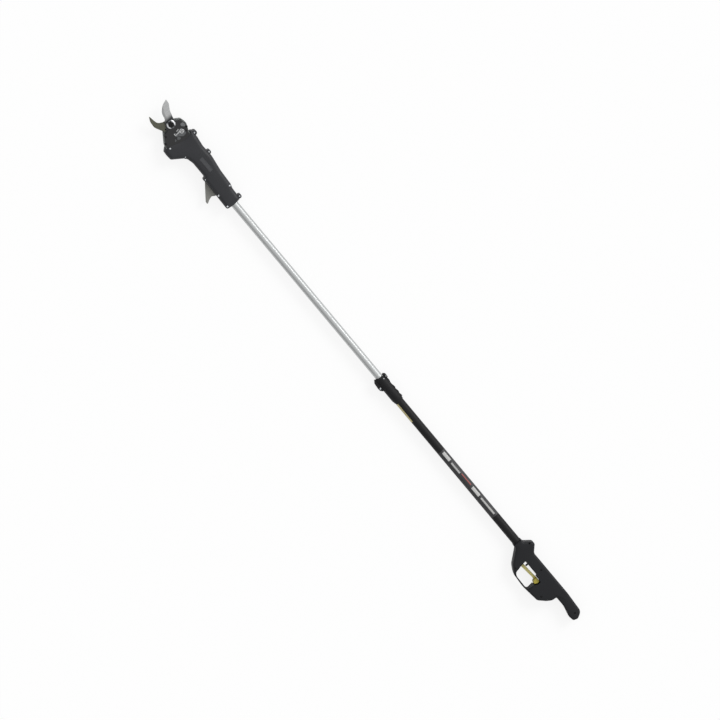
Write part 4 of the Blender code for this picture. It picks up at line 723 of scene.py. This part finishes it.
# %% Cutting blade
# The dark tone that takes over from 396 to 380 mm along the tool, towards the pivot, is painted shade.
blade_steel = make_finish(
    "ground_tool_steel", 0.34, 0.85, ("#a9aaaa", "#c6c7c7"), clouds=(0.9, 3, (1, 40, 1)), contrast=(0.35, 0.75),
    grain=(0.9, 3, (1, 40, 1)), relief=(0.012, 0.4), mark_and_painted_light=("#3d3e3f", "X", 396, 380))
BLADE_BACK = [(76.4, -41.5, 1.5), (60, -40, 14), (39, -27.5, 25), (8, -18.5, 14), (-17, -10.5, 10)]
BLADE_EDGE = [(7, 16.5, 8), (16, 14.5, 2), (27, 4.5, 14), (49, 0, 30), (68, -18.5, 40)]
TAIL_R = SECTOR_R + 0.5
tail = [(TAIL_R * math.cos(a), TAIL_R * math.sin(a), 0) for a in np.radians(np.linspace(187.5, 120, 10))]
ring = outline(BLADE_BACK + tail + BLADE_EDGE, spacing=1.5)
x, y = ring.T
middle_y = np.interp(x, [16, 39, 60, 76.5], [-2, -15, -29, -41.5])
on_edge = smooth((y - middle_y) / 2) * smooth((x - 19) / 10)
grind = (7.5 * on_edge * smooth((78 - x) / 34))[:, None]
rim_height = BLADE_HIGH - 0.35 - (BLADE_HIGH - BLADE_LOW - 0.9) * on_edge
# The unit normals that point inside are the turned difference of a point's two neighbours.
step = np.roll(ring, -1, axis=0) - np.roll(ring, 1, axis=0)
inward = (step / np.hypot(*step.T)[:, None])[:, ::-1] * [-1, 1]
rings = np.stack([level(ring + inward * drawn_in, z) for drawn_in, z in (
    (0.5, BLADE_LOW), (0.2, BLADE_LOW), (0.0, BLADE_LOW + 0.2), (0.0, rim_height), (0.35 + grind, BLADE_HIGH),
    (0.7 + grind, BLADE_HIGH))])
blade = solid("ground_blade", (rings + centre, False, True, True))
BLADE_BORE_R = 8.6
cut(blade, rod(BLADE_BORE_R, 0, 40, "Z", centre, 64))
place_piece(blade, "blade", blade_steel, "blade_steel", "cutting_blade", sharp=12)

# %% [markdown]
# The hooked counter blade doesn't cut. It is forged, blackened and worn to brown-grey, with rounded edges.

# %% Counter blade
forged = make_finish("blackened_forged_steel", 0.42, 0.7, ("#4c4c42", "#646458"), clouds=(11, 3), grain=(2.2, 4),
                     relief=(0.05, 0.5), tops=("#7d7d70", 0.58, 0.78))
ANVIL_OUTLINE = shifted([
    (65, 39, 1.2), (66, 41, 1.2), (51, 48.5, 20), (27, 50.5, 25), (7, 40.5, 12), (-8, 32.5, 5),
    (-8.5, 22.5, 4), (-16, 4.5, 12), (-13, -12.5, 12), (7, -14.5, 10), (20, -0.5, 12), (21, 15.5, 25),
    (31, 33.5, 20)], *PIVOT)
ANVIL_SCREW, ANVIL_SCREW_R = (362, 17.5), 2.5
counter = solid("forged_counter_blade", plate(ANVIL_OUTLINE, ANVIL_LOW, ANVIL_HIGH, 0.9, spacing=2, steps=5))
cut(counter, rod(BOLT_HOLE, 0, 40, "Z", centre, 48),
    rod(ANVIL_SCREW_R + CLEAR, 0, 40, "Z", (*ANVIL_SCREW, 0), 24))
place_piece(counter, "extension", forged, "counter_blade_steel", "counter_blade")
counter_screw = pan_screw(*ANVIL_SCREW, ANVIL_HIGH - 0.2, -7, ANVIL_SCREW_R, ANVIL_SCREW_R, 2.0, dome=0.0)
place_piece(solid("counter_screw_detail", counter_screw), "extension", dark_steel, "bright_steel",
            "counter_blade_screw")

# %% [markdown]
# # Pivot
# The blades turn on a steel bolt. A toothed washer and a dark hexagon nut with chamfered corners hold them. The
# washer's plating is dull and patchy, with painted glints on two sides. A nut's chamfer is a shallow cone, so
# each side's upper rim curves: the height falls with the distance from the axis.

# %% Bolt
NUT_LOW, NUT_THICK, NUT_R = COVER_HIGH + 2 * CLEAR + 1.6, 5.5, 11.0
BOLT_TOP, BOLT_HEAD_TOP = NUT_LOW + NUT_THICK + 1, CASE_LOW - CLEAR
BOLT_LOW, BOLT_HEAD_R = BOLT_HEAD_TOP - 4.7, 10


def hexagon(corner_r, soft):
    """Six corners about the bolt."""
    angles = np.radians(range(0, 360, 60))
    return shifted([(corner_r * math.cos(a), corner_r * math.sin(a), soft) for a in angles], *PIVOT)


bolt = solid("pivot_bolt_detail", turned([
    (0, BOLT_LOW), (BOLT_HEAD_R, BOLT_LOW), (BOLT_HEAD_R, BOLT_HEAD_TOP), (BOLT_R, BOLT_HEAD_TOP),
    (BOLT_R, BOLT_TOP), (0, BOLT_TOP)], "Z", centre, 64, 0.7))
cut(bolt, plate(hexagon(3, 0.2), BOLT_TOP - 3, BOLT_TOP + 2, 0.05),
    plate(hexagon(5, 0.3), BOLT_LOW - 2, BOLT_LOW + 2.8, 0.05))
place_piece(bolt, "extension", dark_steel, "bright_steel", "pivot_bolt")


# %% Washer and nut
def rings_about_pivot(angle, rings):
    """Rings of (radius, height) about the bolt; both may change with the angle."""
    grid = [np.stack(np.broadcast_arrays(r * np.cos(angle), r * np.sin(angle), z), 1) for r, z in rings]
    return np.stack(grid) + centre, True, True, False


# The pale tone on both sides of the bolt, 6 to 11.5 mm from it along Y, is a painted glint.
painted_glint_zinc_plate = make_finish("zinc_plate_painted_glints", 0.25, 1.0, ("#3c3d3f", "#6b6d70"), clouds=(7, 2),
                         contrast=(0.4, 0.6), mark_and_painted_light=("#e0e2e4", "Y", 6, 11.5, PIVOT[1]))
angle = np.linspace(0, 2 * math.pi, 192, endpoint=False)
tooth = 0.25 * np.abs((angle * 24 / math.pi) % 2 - 1)
seat = COVER_HIGH + CLEAR
washer = solid("toothed_washer", rings_about_pivot(angle, [
    (BOLT_HOLE, seat), (14.7, seat), (15, seat + 0.2), (15, seat + 0.55), (14.6, seat + 0.7 + tooth),
    (10.8, seat + 1.35 + tooth), (10.2, seat + 1.6), (BOLT_HOLE, seat + 1.6)]))
place_piece(washer, "extension", painted_glint_zinc_plate, "bright_steel", "pivot_washer")

# Side distance = flat / cos(a within 30 degrees); the rims fall by 0.58 (side distance - flat) from the faces.
angle = np.linspace(0, 2 * math.pi, 96, endpoint=False)
flat = NUT_R * math.cos(math.pi / 6)
reach = flat / np.cos((angle + math.pi / 6) % (math.pi / 3) - math.pi / 6)
fall = 0.58 * (reach - flat + 0.35)
low, high = NUT_LOW, NUT_LOW + NUT_THICK
nut = solid("dark_hexagon_nut", rings_about_pivot(angle, [
    (BOLT_HOLE, low + 0.4), (BOLT_HOLE + 0.5, low), (flat - 0.6, low), (reach, low + fall), (reach, high - fall),
    (flat - 0.6, high), (BOLT_HOLE + 0.5, high), (BOLT_HOLE, high - 0.4)]))
place_piece(nut, "extension", dark_steel, "nut_steel", "pivot_nut")
print("pivot", placed_pieces["dark_hexagon_nut"])

# %% [markdown]
# # Clamp
# A nylon collar grips the black tube's end. On one side it is slit, and a bolt draws its two ears together.
# On the other a lever turns on a pin between two ears and presses a rubber pad on the silver tube. The
# collar is turned, its ears are joined on, and the slot, the slit and the bores are cut through the whole.

# %% Sizes of the clamp
clamp_nylon = moulded_nylon("moulded_smooth_nylon", "#101012", "#171719", "#1d1d1f", 0.9, 20, 0.5, 0.22)
COLLAR_R = OUTER_TUBE_R + 4
COLLAR_REAR, COLLAR_FRONT = OUTER_FRONT - 74, OUTER_FRONT + 32
COLLAR_STEP = OUTER_FRONT + CLEAR
PIN_X, PIN_Y, PIN_R = OUTER_FRONT + 18, -COLLAR_R - 1.5, 2.0
BOLT_X, BOLT_Y, EAR_Y = OUTER_FRONT - 4, COLLAR_R + 3.5, COLLAR_R + 10
CLAMP_SCREW = (BOLT_X, BOLT_Y, 12, -9)
LEVER_IN, LEVER_OUT, LEVER_HALF, EYE_R, EAR_HALF = -16.5, -18.2, 8.0, 3.4, 12.3
pin_centre = (PIN_X, PIN_Y, 0)
bore, outer_bore = INNER_TUBE_R + CLEAR, OUTER_TUBE_R + CLEAR
slot_floor, slot_half = PIN_Y + EYE_R + CLEAR, LEVER_HALF + CLEAR
bolt_ear = [(BOLT_X - 16, OUTER_TUBE_R, 2), (BOLT_X - 13, OUTER_TUBE_R + 6.5, 3), (BOLT_X - 5.5, EAR_Y - 1.3, 6),
            (BOLT_X + 2, EAR_Y - 0.2, 8), (BOLT_X + 23, EAR_Y - 2.2, 4), (COLLAR_FRONT - 2, COLLAR_R, 2),
            (COLLAR_FRONT - 2, OUTER_TUBE_R, 1)]
lever_ears = [(PIN_X - 11, -OUTER_TUBE_R, 2), (PIN_X - 5, PIN_Y - EYE_R, 4), (PIN_X + 5, PIN_Y - EYE_R, 4),
              (COLLAR_FRONT - 0.5, -OUTER_TUBE_R, 2)]

# %% Collar
collar = solid("clamp_collar_body", turned([
    (0, COLLAR_REAR - 6), (COLLAR_R - 2.4, COLLAR_REAR - 6), (COLLAR_R - 0.4, COLLAR_REAR + 5),
    (COLLAR_R, COLLAR_REAR + 9), (COLLAR_R, COLLAR_FRONT), (0, COLLAR_FRONT)], "X", soft=0.4))
join(collar, plate(bolt_ear, -10, 10, 1.2))
join(collar, plate(lever_ears, -EAR_HALF, EAR_HALF, 1.0))
cut(collar, box((PIN_X - 9, -60, -slot_half), (COLLAR_FRONT + 5, slot_floor, slot_half)))
cut(collar, box((COLLAR_REAR + 1, -60, -slot_half), (PIN_X - 8.5, LEVER_IN + CLEAR, slot_half)))
cut(collar, box((PIN_X - 6.3, -18, -7.3), (PIN_X + 6.3, -8, 7.3)),
    box((OUTER_FRONT - 22, 10, -0.6), (COLLAR_FRONT + 5, 40, 0.6)))
cut(collar, turned([
    (0, COLLAR_REAR - 10), (outer_bore, COLLAR_REAR - 10), (outer_bore, COLLAR_STEP), (bore, COLLAR_STEP),
    (bore, COLLAR_FRONT - 13), (COLLAR_R, COLLAR_FRONT - 5), (COLLAR_R + 7, COLLAR_FRONT + 5),
    (0, COLLAR_FRONT + 5)], "X"))
cut(collar, rod(PIN_R + CLEAR, -20, 20, "Z", pin_centre), screw_hole(*CLAMP_SCREW))
place_piece(collar, "root", clamp_nylon, "dark_plastic", "clamp_collar")
add_screws({"clamp_bolt": CLAMP_SCREW}, "root", bright_steel, "bright_steel")
pin = solid("lever_pin_detail", rod(PIN_R, -EAR_HALF, EAR_HALF, "Z", pin_centre, soft=0.4))
place_piece(pin, "root", bright_steel, "bright_steel", "lever_pin")

# %% [markdown]
# The lever lies flush in the collar. Three low steps and a hump give the finger a hold, and a round eye
# takes the pin.

# %% Lever
LEVER_END = PIN_X - 90
STEP_PITCH, STEP_RISE, STEP_HEIGHT = 20, 14, 2.6
hump = LEVER_OUT - STEP_HEIGHT
steps = [corner for k in range(3) for corner in (
    (LEVER_END + STEP_PITCH * k, hump, 0.9), (LEVER_END + STEP_PITCH * k + STEP_RISE, LEVER_OUT, 3))]
arm = [(LEVER_END, LEVER_IN, 0.8), *steps, (PIN_X - 26, LEVER_OUT - 0.6, 8), (PIN_X - 20, hump, 3),
       (PIN_X - 14, hump, 3), (PIN_X - 9, LEVER_OUT - 0.8, 3), (PIN_X - 3, PIN_Y - EYE_R, 2.6),
       (PIN_X + EYE_R, PIN_Y - EYE_R, 3.2), (PIN_X + EYE_R, PIN_Y + EYE_R, 3.2),
       (PIN_X - EYE_R, PIN_Y + EYE_R, 1), (PIN_X - 7, LEVER_IN, 1)]
lever = solid("ribbed_lock_lever", plate(arm, -LEVER_HALF, LEVER_HALF, 0.5, spacing=3))
LEVER_BORE_R = 2.25
cut(lever, rod(LEVER_BORE_R, -20, 20, "Z", pin_centre))
place_piece(lever, "lever", clamp_nylon, "dark_plastic", "lock_lever")
set_screw = solid("brake_set_screw", pan_screw(PIN_X - 1, -8.5, 18.0, 14.5, head=2.2, depth=1.4))
place_piece(set_screw, "root", bright_steel, "bright_steel")
print("clamp", placed_pieces["clamp_collar_body"], placed_pieces["ribbed_lock_lever"])

# %% [markdown]
# # Strip and label place on the black tube
# A thin yellow strip lies along the tube behind the clamp, with a darker line along it. Further back the
# real tube has a printed wrap; here it is a generic one, with plain pale bars and one thin red line. Both
# are patches of a slightly larger cylinder, with a thickness of a few tenths of a millimetre. Both are vinyl:
# the strip is satin and its tone wanders a little, and the wrap is smoother and shines a bit more.

# %% Patches on the tube
def patch(start, end, low_degrees, high_degrees, thick, gap=0.05, columns=40):
    """Part of a cylinder: x runs along the tube, the angle from +Y towards +Z runs across it."""
    angle = np.radians(np.linspace(low_degrees, high_degrees, columns))[:, None]
    stations = np.linspace(start, end, 25)
    x = np.concatenate([stations, stations[::-1]])
    radius = np.repeat([OUTER_TUBE_R + gap, OUTER_TUBE_R + gap + thick], len(stations))
    grid = np.stack([np.broadcast_to(x, (columns, len(x))), radius * np.cos(angle), radius * np.sin(angle)], -1)
    return grid, False, True, True


LINE_Z = (OUTER_TUBE_R + 0.5) * math.sin(math.radians(12))
strip_vinyl = make_finish("yellow_vinyl_strip", 0.4, 0.0, ("#b3a873", "#c6bc8c"), clouds=(12, 3, (4, 1, 1)),
                          mark_and_painted_light=("#7a7143", "Z", 1.9, 1.0, LINE_Z))
strip = solid("yellow_strip", patch(COLLAR_REAR - 90, COLLAR_REAR - 10, -35, 50, 0.35))
place_piece(strip, "root", strip_vinyl, "strip_yellow", "length_mark_strip")

# %% Plain wrap with bars
wrap_vinyl, tree, shader, place = new_finish("printed_vinyl_wrap", 0.36)
split = add_node(tree, "ShaderNodeSeparateXYZ", {0: place}).outputs
BARS = [(-1150, -1114, -8, 3, "#b9b9b7"), (-1206, -1160, -4, 2, "#a9a9a8"), (-1262, -1212, -6, -3, "#9d4a44"),
        (-1310, -1272, -8, 3, "#b9b9b7"), (-1392, -1320, -5, 1, "#adadab")]


def bar(start, end, low, high):
    """1 inside a bar along the tube: between two stations, and between two widths across, seen from above."""
    x0, y0, _ = map(float, to_frame((start, low, 0)))
    x1, y1, _ = map(float, to_frame((end, high, 0)))
    inside = 1.0
    for axis, side, kind in (("X", x0, "GREATER_THAN"), ("X", x1, "LESS_THAN"), ("Y", y0, "GREATER_THAN"),
                             ("Y", y1, "LESS_THAN")):
        test = add_node(tree, "ShaderNodeMath", {0: split[axis], 1: side}, operation=kind).outputs[0]
        inside = add_node(tree, "ShaderNodeMath", {0: inside, 1: test}, operation="MULTIPLY").outputs[0]
    return inside


paint(tree, shader, "#242426", [("#303032", noise(tree, place, 18, 3, stretch=(3, 1, 1))),
                                *[(tone, bar(*sides)) for *sides, tone in BARS]])
wrap = solid("plain_wrap", patch(-1400, -1106, 35, 165, 0.15))
place_piece(wrap, "root", wrap_vinyl, "black_tube")

# %% [markdown]
# # Handle
# The pistol handle is a pair of shells like the head's. Its outline holds the trigger guard, and a slanting
# opening for the fingers goes through it. Its thickness isn't even: the grip at the rear is slimmer and the
# guard is a slim bar. So the height of the surface is multiplied by a field that falls smoothly over those
# two places. The halves are solid skins, and the rooms inside them are cut out.

# %% Sizes of the handle
HANDLE_FRONT, SPINE_HALF, SLEEVE_HALF = -1520.0, 20.4, 18.5
HANDLE_OUTLINE = shifted([
    (0, -SLEEVE_HALF + 2, 1), (-12, -SLEEVE_HALF + 1, 8), (-37, -48, 11), (-66, -SPINE_HALF, 14),
    (-250, -SPINE_HALF - 0.5, 80), (-328, -16, 22), (-342, 8, 12), (-336, 24, 8), (-318, 27, 12),
    (-280, 18, 50), (-236, 18, 4), (-234, 36, 20), (-222, 53, 25), (-200, 74.8, 12), (-133, 82.3, 60),
    (-80, 79, 40), (-50, 62.5, 40), (-23, 30, 20), (-12, SLEEVE_HALF - 1, 8), (0, SLEEVE_HALF - 2, 1)],
    HANDLE_FRONT)
HANDLE_SPINE = shifted([(-326, 6), (-262, -1), (-215, 22), (-130, 28), (-70, 22), (-18, 0)], HANDLE_FRONT)
FINGER_OPENING = shifted([(-67, SPINE_HALF, 2), (-71, 46, 30), (-80, 75.2, 22), (-149, 76.8, 10), (-150, 52, 10),
                          (-137, SPINE_HALF, 2)], HANDLE_FRONT)
GRIP_CAVITY = shifted([(-220, -16.4, 2), (-312, -13, 6), (-329, 8, 8), (-318, 16, 6), (-220, 14, 2)],
                      HANDLE_FRONT)
WEB_CAVITY = shifted([(-220, 25, 3), (-205, 48, 4), (-189, 48, 3), (-186, 72, 5), (-166, 73, 5), (-166, 25, 3)],
                     HANDLE_FRONT)
SPINE_CAVITY = shifted([(-44, -17.4, 2), (-225, -17.4, 2), (-225, 14.4, 2), (-180, 17.4, 2), (-44, 17.4, 2)],
                       HANDLE_FRONT)
TRIGGER_X, TRIGGER_Y = HANDLE_FRONT - 150, 32.0
trigger_centre = (TRIGGER_X, TRIGGER_Y, 0)
TRIGGER_SLOT = shifted([(-11, -9, 3), (20, -9, 1), (20, 18, 1), (-6, 18, 3), (-11, 8, 3)], TRIGGER_X, TRIGGER_Y)
ROOT_POCKET = shifted([(-8, -7, 3), (14, -7, 3), (14, 20, 3), (-3, 16.2, 3), (-8, 6, 4)], TRIGGER_X, TRIGGER_Y)
PLUNGER_X, PLUNGER_R = TRIGGER_X + 65, 3.2
LEAD_HOLE_R, INLET_R, INLET_Y, TRIGGER_PIN_R = 7.0, 6.4, 6.0, 2.0
HANDLE_SCREWS = {f"handle_screw_{k}": (HANDLE_FRONT + x, y, top, -SCREW_REACH) for k, (x, y, top) in enumerate(
    [(-28, -30, 20.0), (-63, 62, 23.4), (-126, -2, 23.4), (-198, 56, 23.4), (-318, 4, 18.4)], 1)}


def handle_thickness(x, y):
    """1 over the body, 19/24 over the grip, about half over the guard's bar, with smooth slopes between."""
    x = x - HANDLE_FRONT
    grip = 1 - (1 - 19 / 24) * smooth((-228 - x) / 27)
    over_guard = smooth((x + 158) / 14) * smooth((-66 - x) / 14) * smooth((y - 54) / 13)
    return grip * (1 - 0.5 * over_guard)


# %% Handle shells
handle_nylon = moulded_nylon("moulded_handle_nylon", "#101114", "#18191d", "#212226", 0.7, 30, 0.52, 0.27)
ROOMS = [(FINGER_OPENING, 60, 0.1), (SPINE_CAVITY, 20, 0.5), (GRIP_CAVITY, 15.5, 0.5), (WEB_CAVITY, 20, 0.5),
         (TRIGGER_SLOT, 5, 0.2), (ROOT_POCKET, 60, 0.2)]
for name, node, side in (("handle_cover_top", "handle_shell_upper", 1),
                         ("handle_cover_bottom", "handle_shell_lower", -1)):
    piece = solid(name, shell(HANDLE_OUTLINE, HANDLE_SPINE, side, 8.0, thickness=handle_thickness, spacing=3.0))
    for room, half, edge in ROOMS:
        cut(piece, plate(room, -half, half, edge))
    cut(piece, rod(outer_bore, HANDLE_SOCKET_REAR, HANDLE_FRONT + 5, "X", facets=96))
    cut(piece, rod(LEAD_HOLE_R, HANDLE_SOCKET_REAR - 5, HANDLE_SOCKET_REAR + 1, "X"),
        rod(PLUNGER_R + CLEAR, 15, 23, "Y", (PLUNGER_X, 0, 0)),
        rod(INLET_R + 0.4, HANDLE_FRONT - 360, HANDLE_FRONT - 320, "X", (0, INLET_Y, 0), 40))
    cut(piece, rod(TRIGGER_PIN_R + CLEAR, -14.3, 14.3, "Z", trigger_centre, 24))
    cut(piece, *[screw_hole(*place) for place in HANDLE_SCREWS.values()])
    place_piece(piece, "root", handle_nylon, "shell_plastic", node)
add_screws(HANDLE_SCREWS, "root", dark_steel, "dark_plastic")
print("handle", placed_pieces["handle_cover_top"])

# %% [markdown]
# # Trigger and its switch
# The yellow trigger is a moulded rocker between the shells. Its nylon is deeper in tone at the root, and towards
# its free end its colour is painted paler, as light falling on it. Under its free end a plunger goes into the
# grip and presses a small switch against a spring. The spring is a wire swept along a helix. An inlet of
# vulcanised rubber, dull and nearly black, closes the grip's end.

# %% Trigger, plunger and inlet
# The pale tone that grows along X towards the free end is painted light; the root keeps the deeper tone.
yellow_nylon_painted_light = make_finish(
    "moulded_yellow_nylon", 0.42, 0.0, ("#a6982f", "#b6a840"), clouds=(12, 3), grain=(0.8, 2),
    relief=(0.04, 0.4), mark_and_painted_light=("#d9cf84", "X", TRIGGER_X + 10, TRIGGER_X + 24))
rubber = make_finish("vulcanised_black_rubber", 0.8, 0.0, ("#181819", "#232324"), clouds=(3, 3))
TRIGGER_OUTLINE = shifted([
    (-7, -6, 2), (13, -6, 2), (22, -4.5, 6), (77, -1, 2), (77.5, 10.5, 3), (20, 5, 8), (9, 6, 3), (6, 14, 2),
    (-2, 15, 2), (-7, 6, 2)], TRIGGER_X, TRIGGER_Y)
TRIGGER_ROOT = shifted([(-5, -5.2, 3), (12, -5.2, 3), (12, 4, 3), (7, 13, 3), (0, 14, 3), (-5, 6, 4)],
                       TRIGGER_X, TRIGGER_Y)
ROOT_HALF = 17.0
trigger = solid("yellow_trigger", plate(TRIGGER_OUTLINE, -4.5, 4.5, 1.2, spacing=3, steps=5))
join(trigger, plate(TRIGGER_ROOT, -ROOT_HALF, ROOT_HALF, 1.5, steps=5))
cut(trigger, rod(TRIGGER_PIN_R + CLEAR, -15, 15, "Z", trigger_centre))
place_piece(trigger, "trigger", yellow_nylon_painted_light, "yellow_plastic", "trigger")
INLET_REAR, INLET_FRONT = HANDLE_FRONT - 340.5, HANDLE_FRONT - 324
inlet = solid("rubber_lead_inlet", turned([
    (0, INLET_REAR + 5), (2.5, INLET_REAR + 5), (2.5, INLET_REAR), (INLET_R, INLET_REAR), (INLET_R, INLET_FRONT),
    (0, INLET_FRONT)], "X", (0, INLET_Y, 0), 48, 1.0))
place_piece(inlet, "root", rubber, "rubber", "battery_lead_inlet")
plunger = solid("plunger_detail", rod(PLUNGER_R, 11.8, 29.3, "Y", (PLUNGER_X, 0, 0), 40, 0.9))
place_piece(plunger, "plunger", clamp_nylon, "dark_plastic", "switch_plunger")


# %% Spring
def wire(turns, coil_r, wire_r, start, end, axis, centre, sides=8, steps=24, phase=0.0):
    """Ring of a wire carried along a helix about an axis."""
    angle = phase + np.linspace(0, 2 * math.pi * turns, int(turns * steps) + 1)[:, None]
    round_wire = np.linspace(0, 2 * math.pi, sides, endpoint=False)
    rise = start + wire_r + (end - start - 2 * wire_r) * (angle - phase) / (2 * math.pi * turns)
    reach = coil_r + wire_r * np.cos(round_wire)
    along_axis = rise + wire_r * np.sin(round_wire)
    first, second = reach * np.cos(angle), reach * np.sin(angle)
    grid = np.stack([along_axis, first, second] if axis == "X" else [first, along_axis, second], -1)
    return grid + np.array(centre), False, True, True


SPRING_START, SPRING_END = -9.2, 11.5
spring = solid("coiled_trigger_spring", wire(7, 2.4, 0.5, SPRING_START, SPRING_END, "Y", (PLUNGER_X, 0, 0)))
place_piece(spring, "root", bright_steel, "bright_steel", "trigger_spring")
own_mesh(spring)

# %% [markdown]
# # Lead inside the tubes
# A two-core lead runs from the handle to the motor inside both tubes. Its cores are twisted, so that it can
# shorten as the silver tube slides in. Its sheath is soft PVC, dull and very slightly uneven in tone.

# %% Twisted lead
lead_sheath = make_finish("soft_pvc_sheath", 0.5, 0.0, ("#1d1d1e", "#2a2a2b"), clouds=(4, 2))
LEAD_START, LEAD_END = -1576.0, 101.0
lead = solid("twisted_lead", *[wire(42, 1.95, 1.9, LEAD_START, LEAD_END, "X", (0, 0, 0), 10, 16, phase)
                               for phase in (0.0, math.pi)])
place_piece(lead, None, lead_sheath, "rubber", "inner_lead")
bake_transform(lead)

# %% [markdown]
# # Hidden pieces
# Inside the head and the handle lie pieces that only an open tool would show. Their CAD shapes are right,
# so they stay, and each gets the finish of the real thing. Rolled steel of the motor can has faint streaks
# along the rolling, sintered bronze a fine warm mottle of pressed powder, and the board a smooth green
# solder resist.

# %% Finishes of the remaining nodes
rolled_steel = make_finish("rolled_steel_motor_can", 0.35, 1.0, ("#8d8f92", "#a4a6a8"), clouds=(2, 3, (8, 1, 1)))
bronze = make_finish("sintered_bronze", 0.4, 0.9, ("#8f6f3c", "#b08d52"), clouds=(0.8, 3))
board = make_finish("solder_resist_green", 0.35, 0.0, ("#24502f", "#2f6340"), clouds=(2.5, 2))
KEPT_NODES = [
    (bright_steel, ["drive_pinion", "pinion_bearing", "blade_sector_gear", "sector_screw_1", "sector_screw_2",
                    "trigger_pin"]),
    (clamp_nylon, ["motor_end_cap", "lead_connector", "tube_end_guide", "microswitch", "terminal_block"]),
    (rolled_steel, ["motor_can", "gearbox_case"]),
    (board, ["control_board"]), (rubber, ["brake_pad"]), (bronze, ["blade_bush"]),
]
for finish, names in KEPT_NODES:
    for name in names:
        for material_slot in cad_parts[name].material_slots:
            material_slot.material = finish
    print("kept", *names)

# %% [markdown]
# # Floor and light
# The photograph was taken on seamless white. The floor is a pale sheet that still shows a faint shadow:
# most of its brightness is its own and the rest is the light on it. The sky is white for the camera and for
# reflections, so that metal mirrors a white studio, and dimmer as a light. It is brighter on the side where
# the studio's big screen stood, the upper right of the picture, which gives the silver tube its bright
# stripe. One broad lamp stands there too.

# %% Floor
def ray_kinds(tree):
    """1 for rays from the camera, and 1 for rays from a glossy or clear surface."""
    rays = add_node(tree, "ShaderNodeLightPath").outputs
    mirrored = add_node(tree, "ShaderNodeMath", {0: rays["Is Glossy Ray"], 1: rays["Is Transmission Ray"]},
                        operation="MAXIMUM")
    return rays["Is Camera Ray"], mirrored.outputs[0]


WHITE = (1, 1, 1, 1)
paper, tree, shader, _ = new_finish("white_paper_sweep", 0.9)
shader.inputs["Base Color"].default_value = colour("#fbfbfb")
glow = add_node(tree, "ShaderNodeEmission", {"Color": WHITE, "Strength": 1.0})
seen, mirrored = ray_kinds(tree)
mirrored = add_node(tree, "ShaderNodeMath", {0: mirrored, 1: 0.3}, operation="MULTIPLY")
own_white = add_node(tree, "ShaderNodeMath", {0: seen, 1: 0.84, 2: mirrored.outputs[0]},
                     operation="MULTIPLY_ADD")
mix = add_node(tree, "ShaderNodeMixShader", {0: own_white.outputs[0], 1: shader.outputs[0], 2: glow.outputs[0]})
tree.links.new(mix.outputs[0], tree.nodes["Material Output"].inputs["Surface"])
floor_mesh = bpy.data.meshes.new("paper_floor")
floor_mesh.from_pydata([(-4, -4, 0), (4, -4, 0), (4, 4, 0), (-4, 4, 0)], [], [(0, 1, 2, 3)])
floor_mesh.materials.append(paper)
floor = bpy.data.objects.new("paper_floor", floor_mesh)
bpy.context.scene.collection.objects.link(floor)
floor.location.z = -0.0005

# %% Sky and lamp
world = bpy.data.worlds.new("white_studio")
bpy.context.scene.world = world
world.use_nodes = True
tree = world.node_tree
tree.nodes.clear()
direction = add_node(tree, "ShaderNodeTexCoord").outputs["Generated"]
screen = add_node(tree, "ShaderNodeVectorMath", {0: direction, 1: (0.0, -0.9, 0.44)}, operation="DOT_PRODUCT")
seen, mirrored = ray_kinds(tree)
side = screen.outputs["Value"]
lit, mirror_light = (add_node(tree, "ShaderNodeMapRange", {0: side, 1: -1.0, 2: 1.0, 3: 0.4, 4: top}).outputs[0]
                     for top in (0.9, 1.1))
both = add_node(tree, "ShaderNodeMix", {0: mirrored, 2: lit, 3: mirror_light}, data_type="FLOAT")
strength = add_node(tree, "ShaderNodeMix", {0: seen, 2: both.outputs[0], 3: 1.0}, data_type="FLOAT")
sky = add_node(tree, "ShaderNodeBackground", {"Color": WHITE, "Strength": strength.outputs[0]})
tree.links.new(sky.outputs[0], add_node(tree, "ShaderNodeOutputWorld").inputs[0])

lamp_data = bpy.data.lights.new("broad_lamp", "SUN")
lamp_data.energy, lamp_data.angle = 1.3, math.radians(25)
lamp = bpy.data.objects.new("broad_lamp", lamp_data)
lamp.matrix_world = Vector((0.1, -0.8, 0.6)).to_track_quat("Z", "Y").to_matrix().to_4x4()
bpy.context.scene.collection.objects.link(lamp)
bpy.context.scene.view_settings.view_transform = "Standard"

# %% [markdown]
# Count and end
# The last cell prints how many pieces were placed and how many faces they have.

# %% Count and end
print(len(placed_pieces), "pieces,", sum(placed_pieces.values()), "faces")
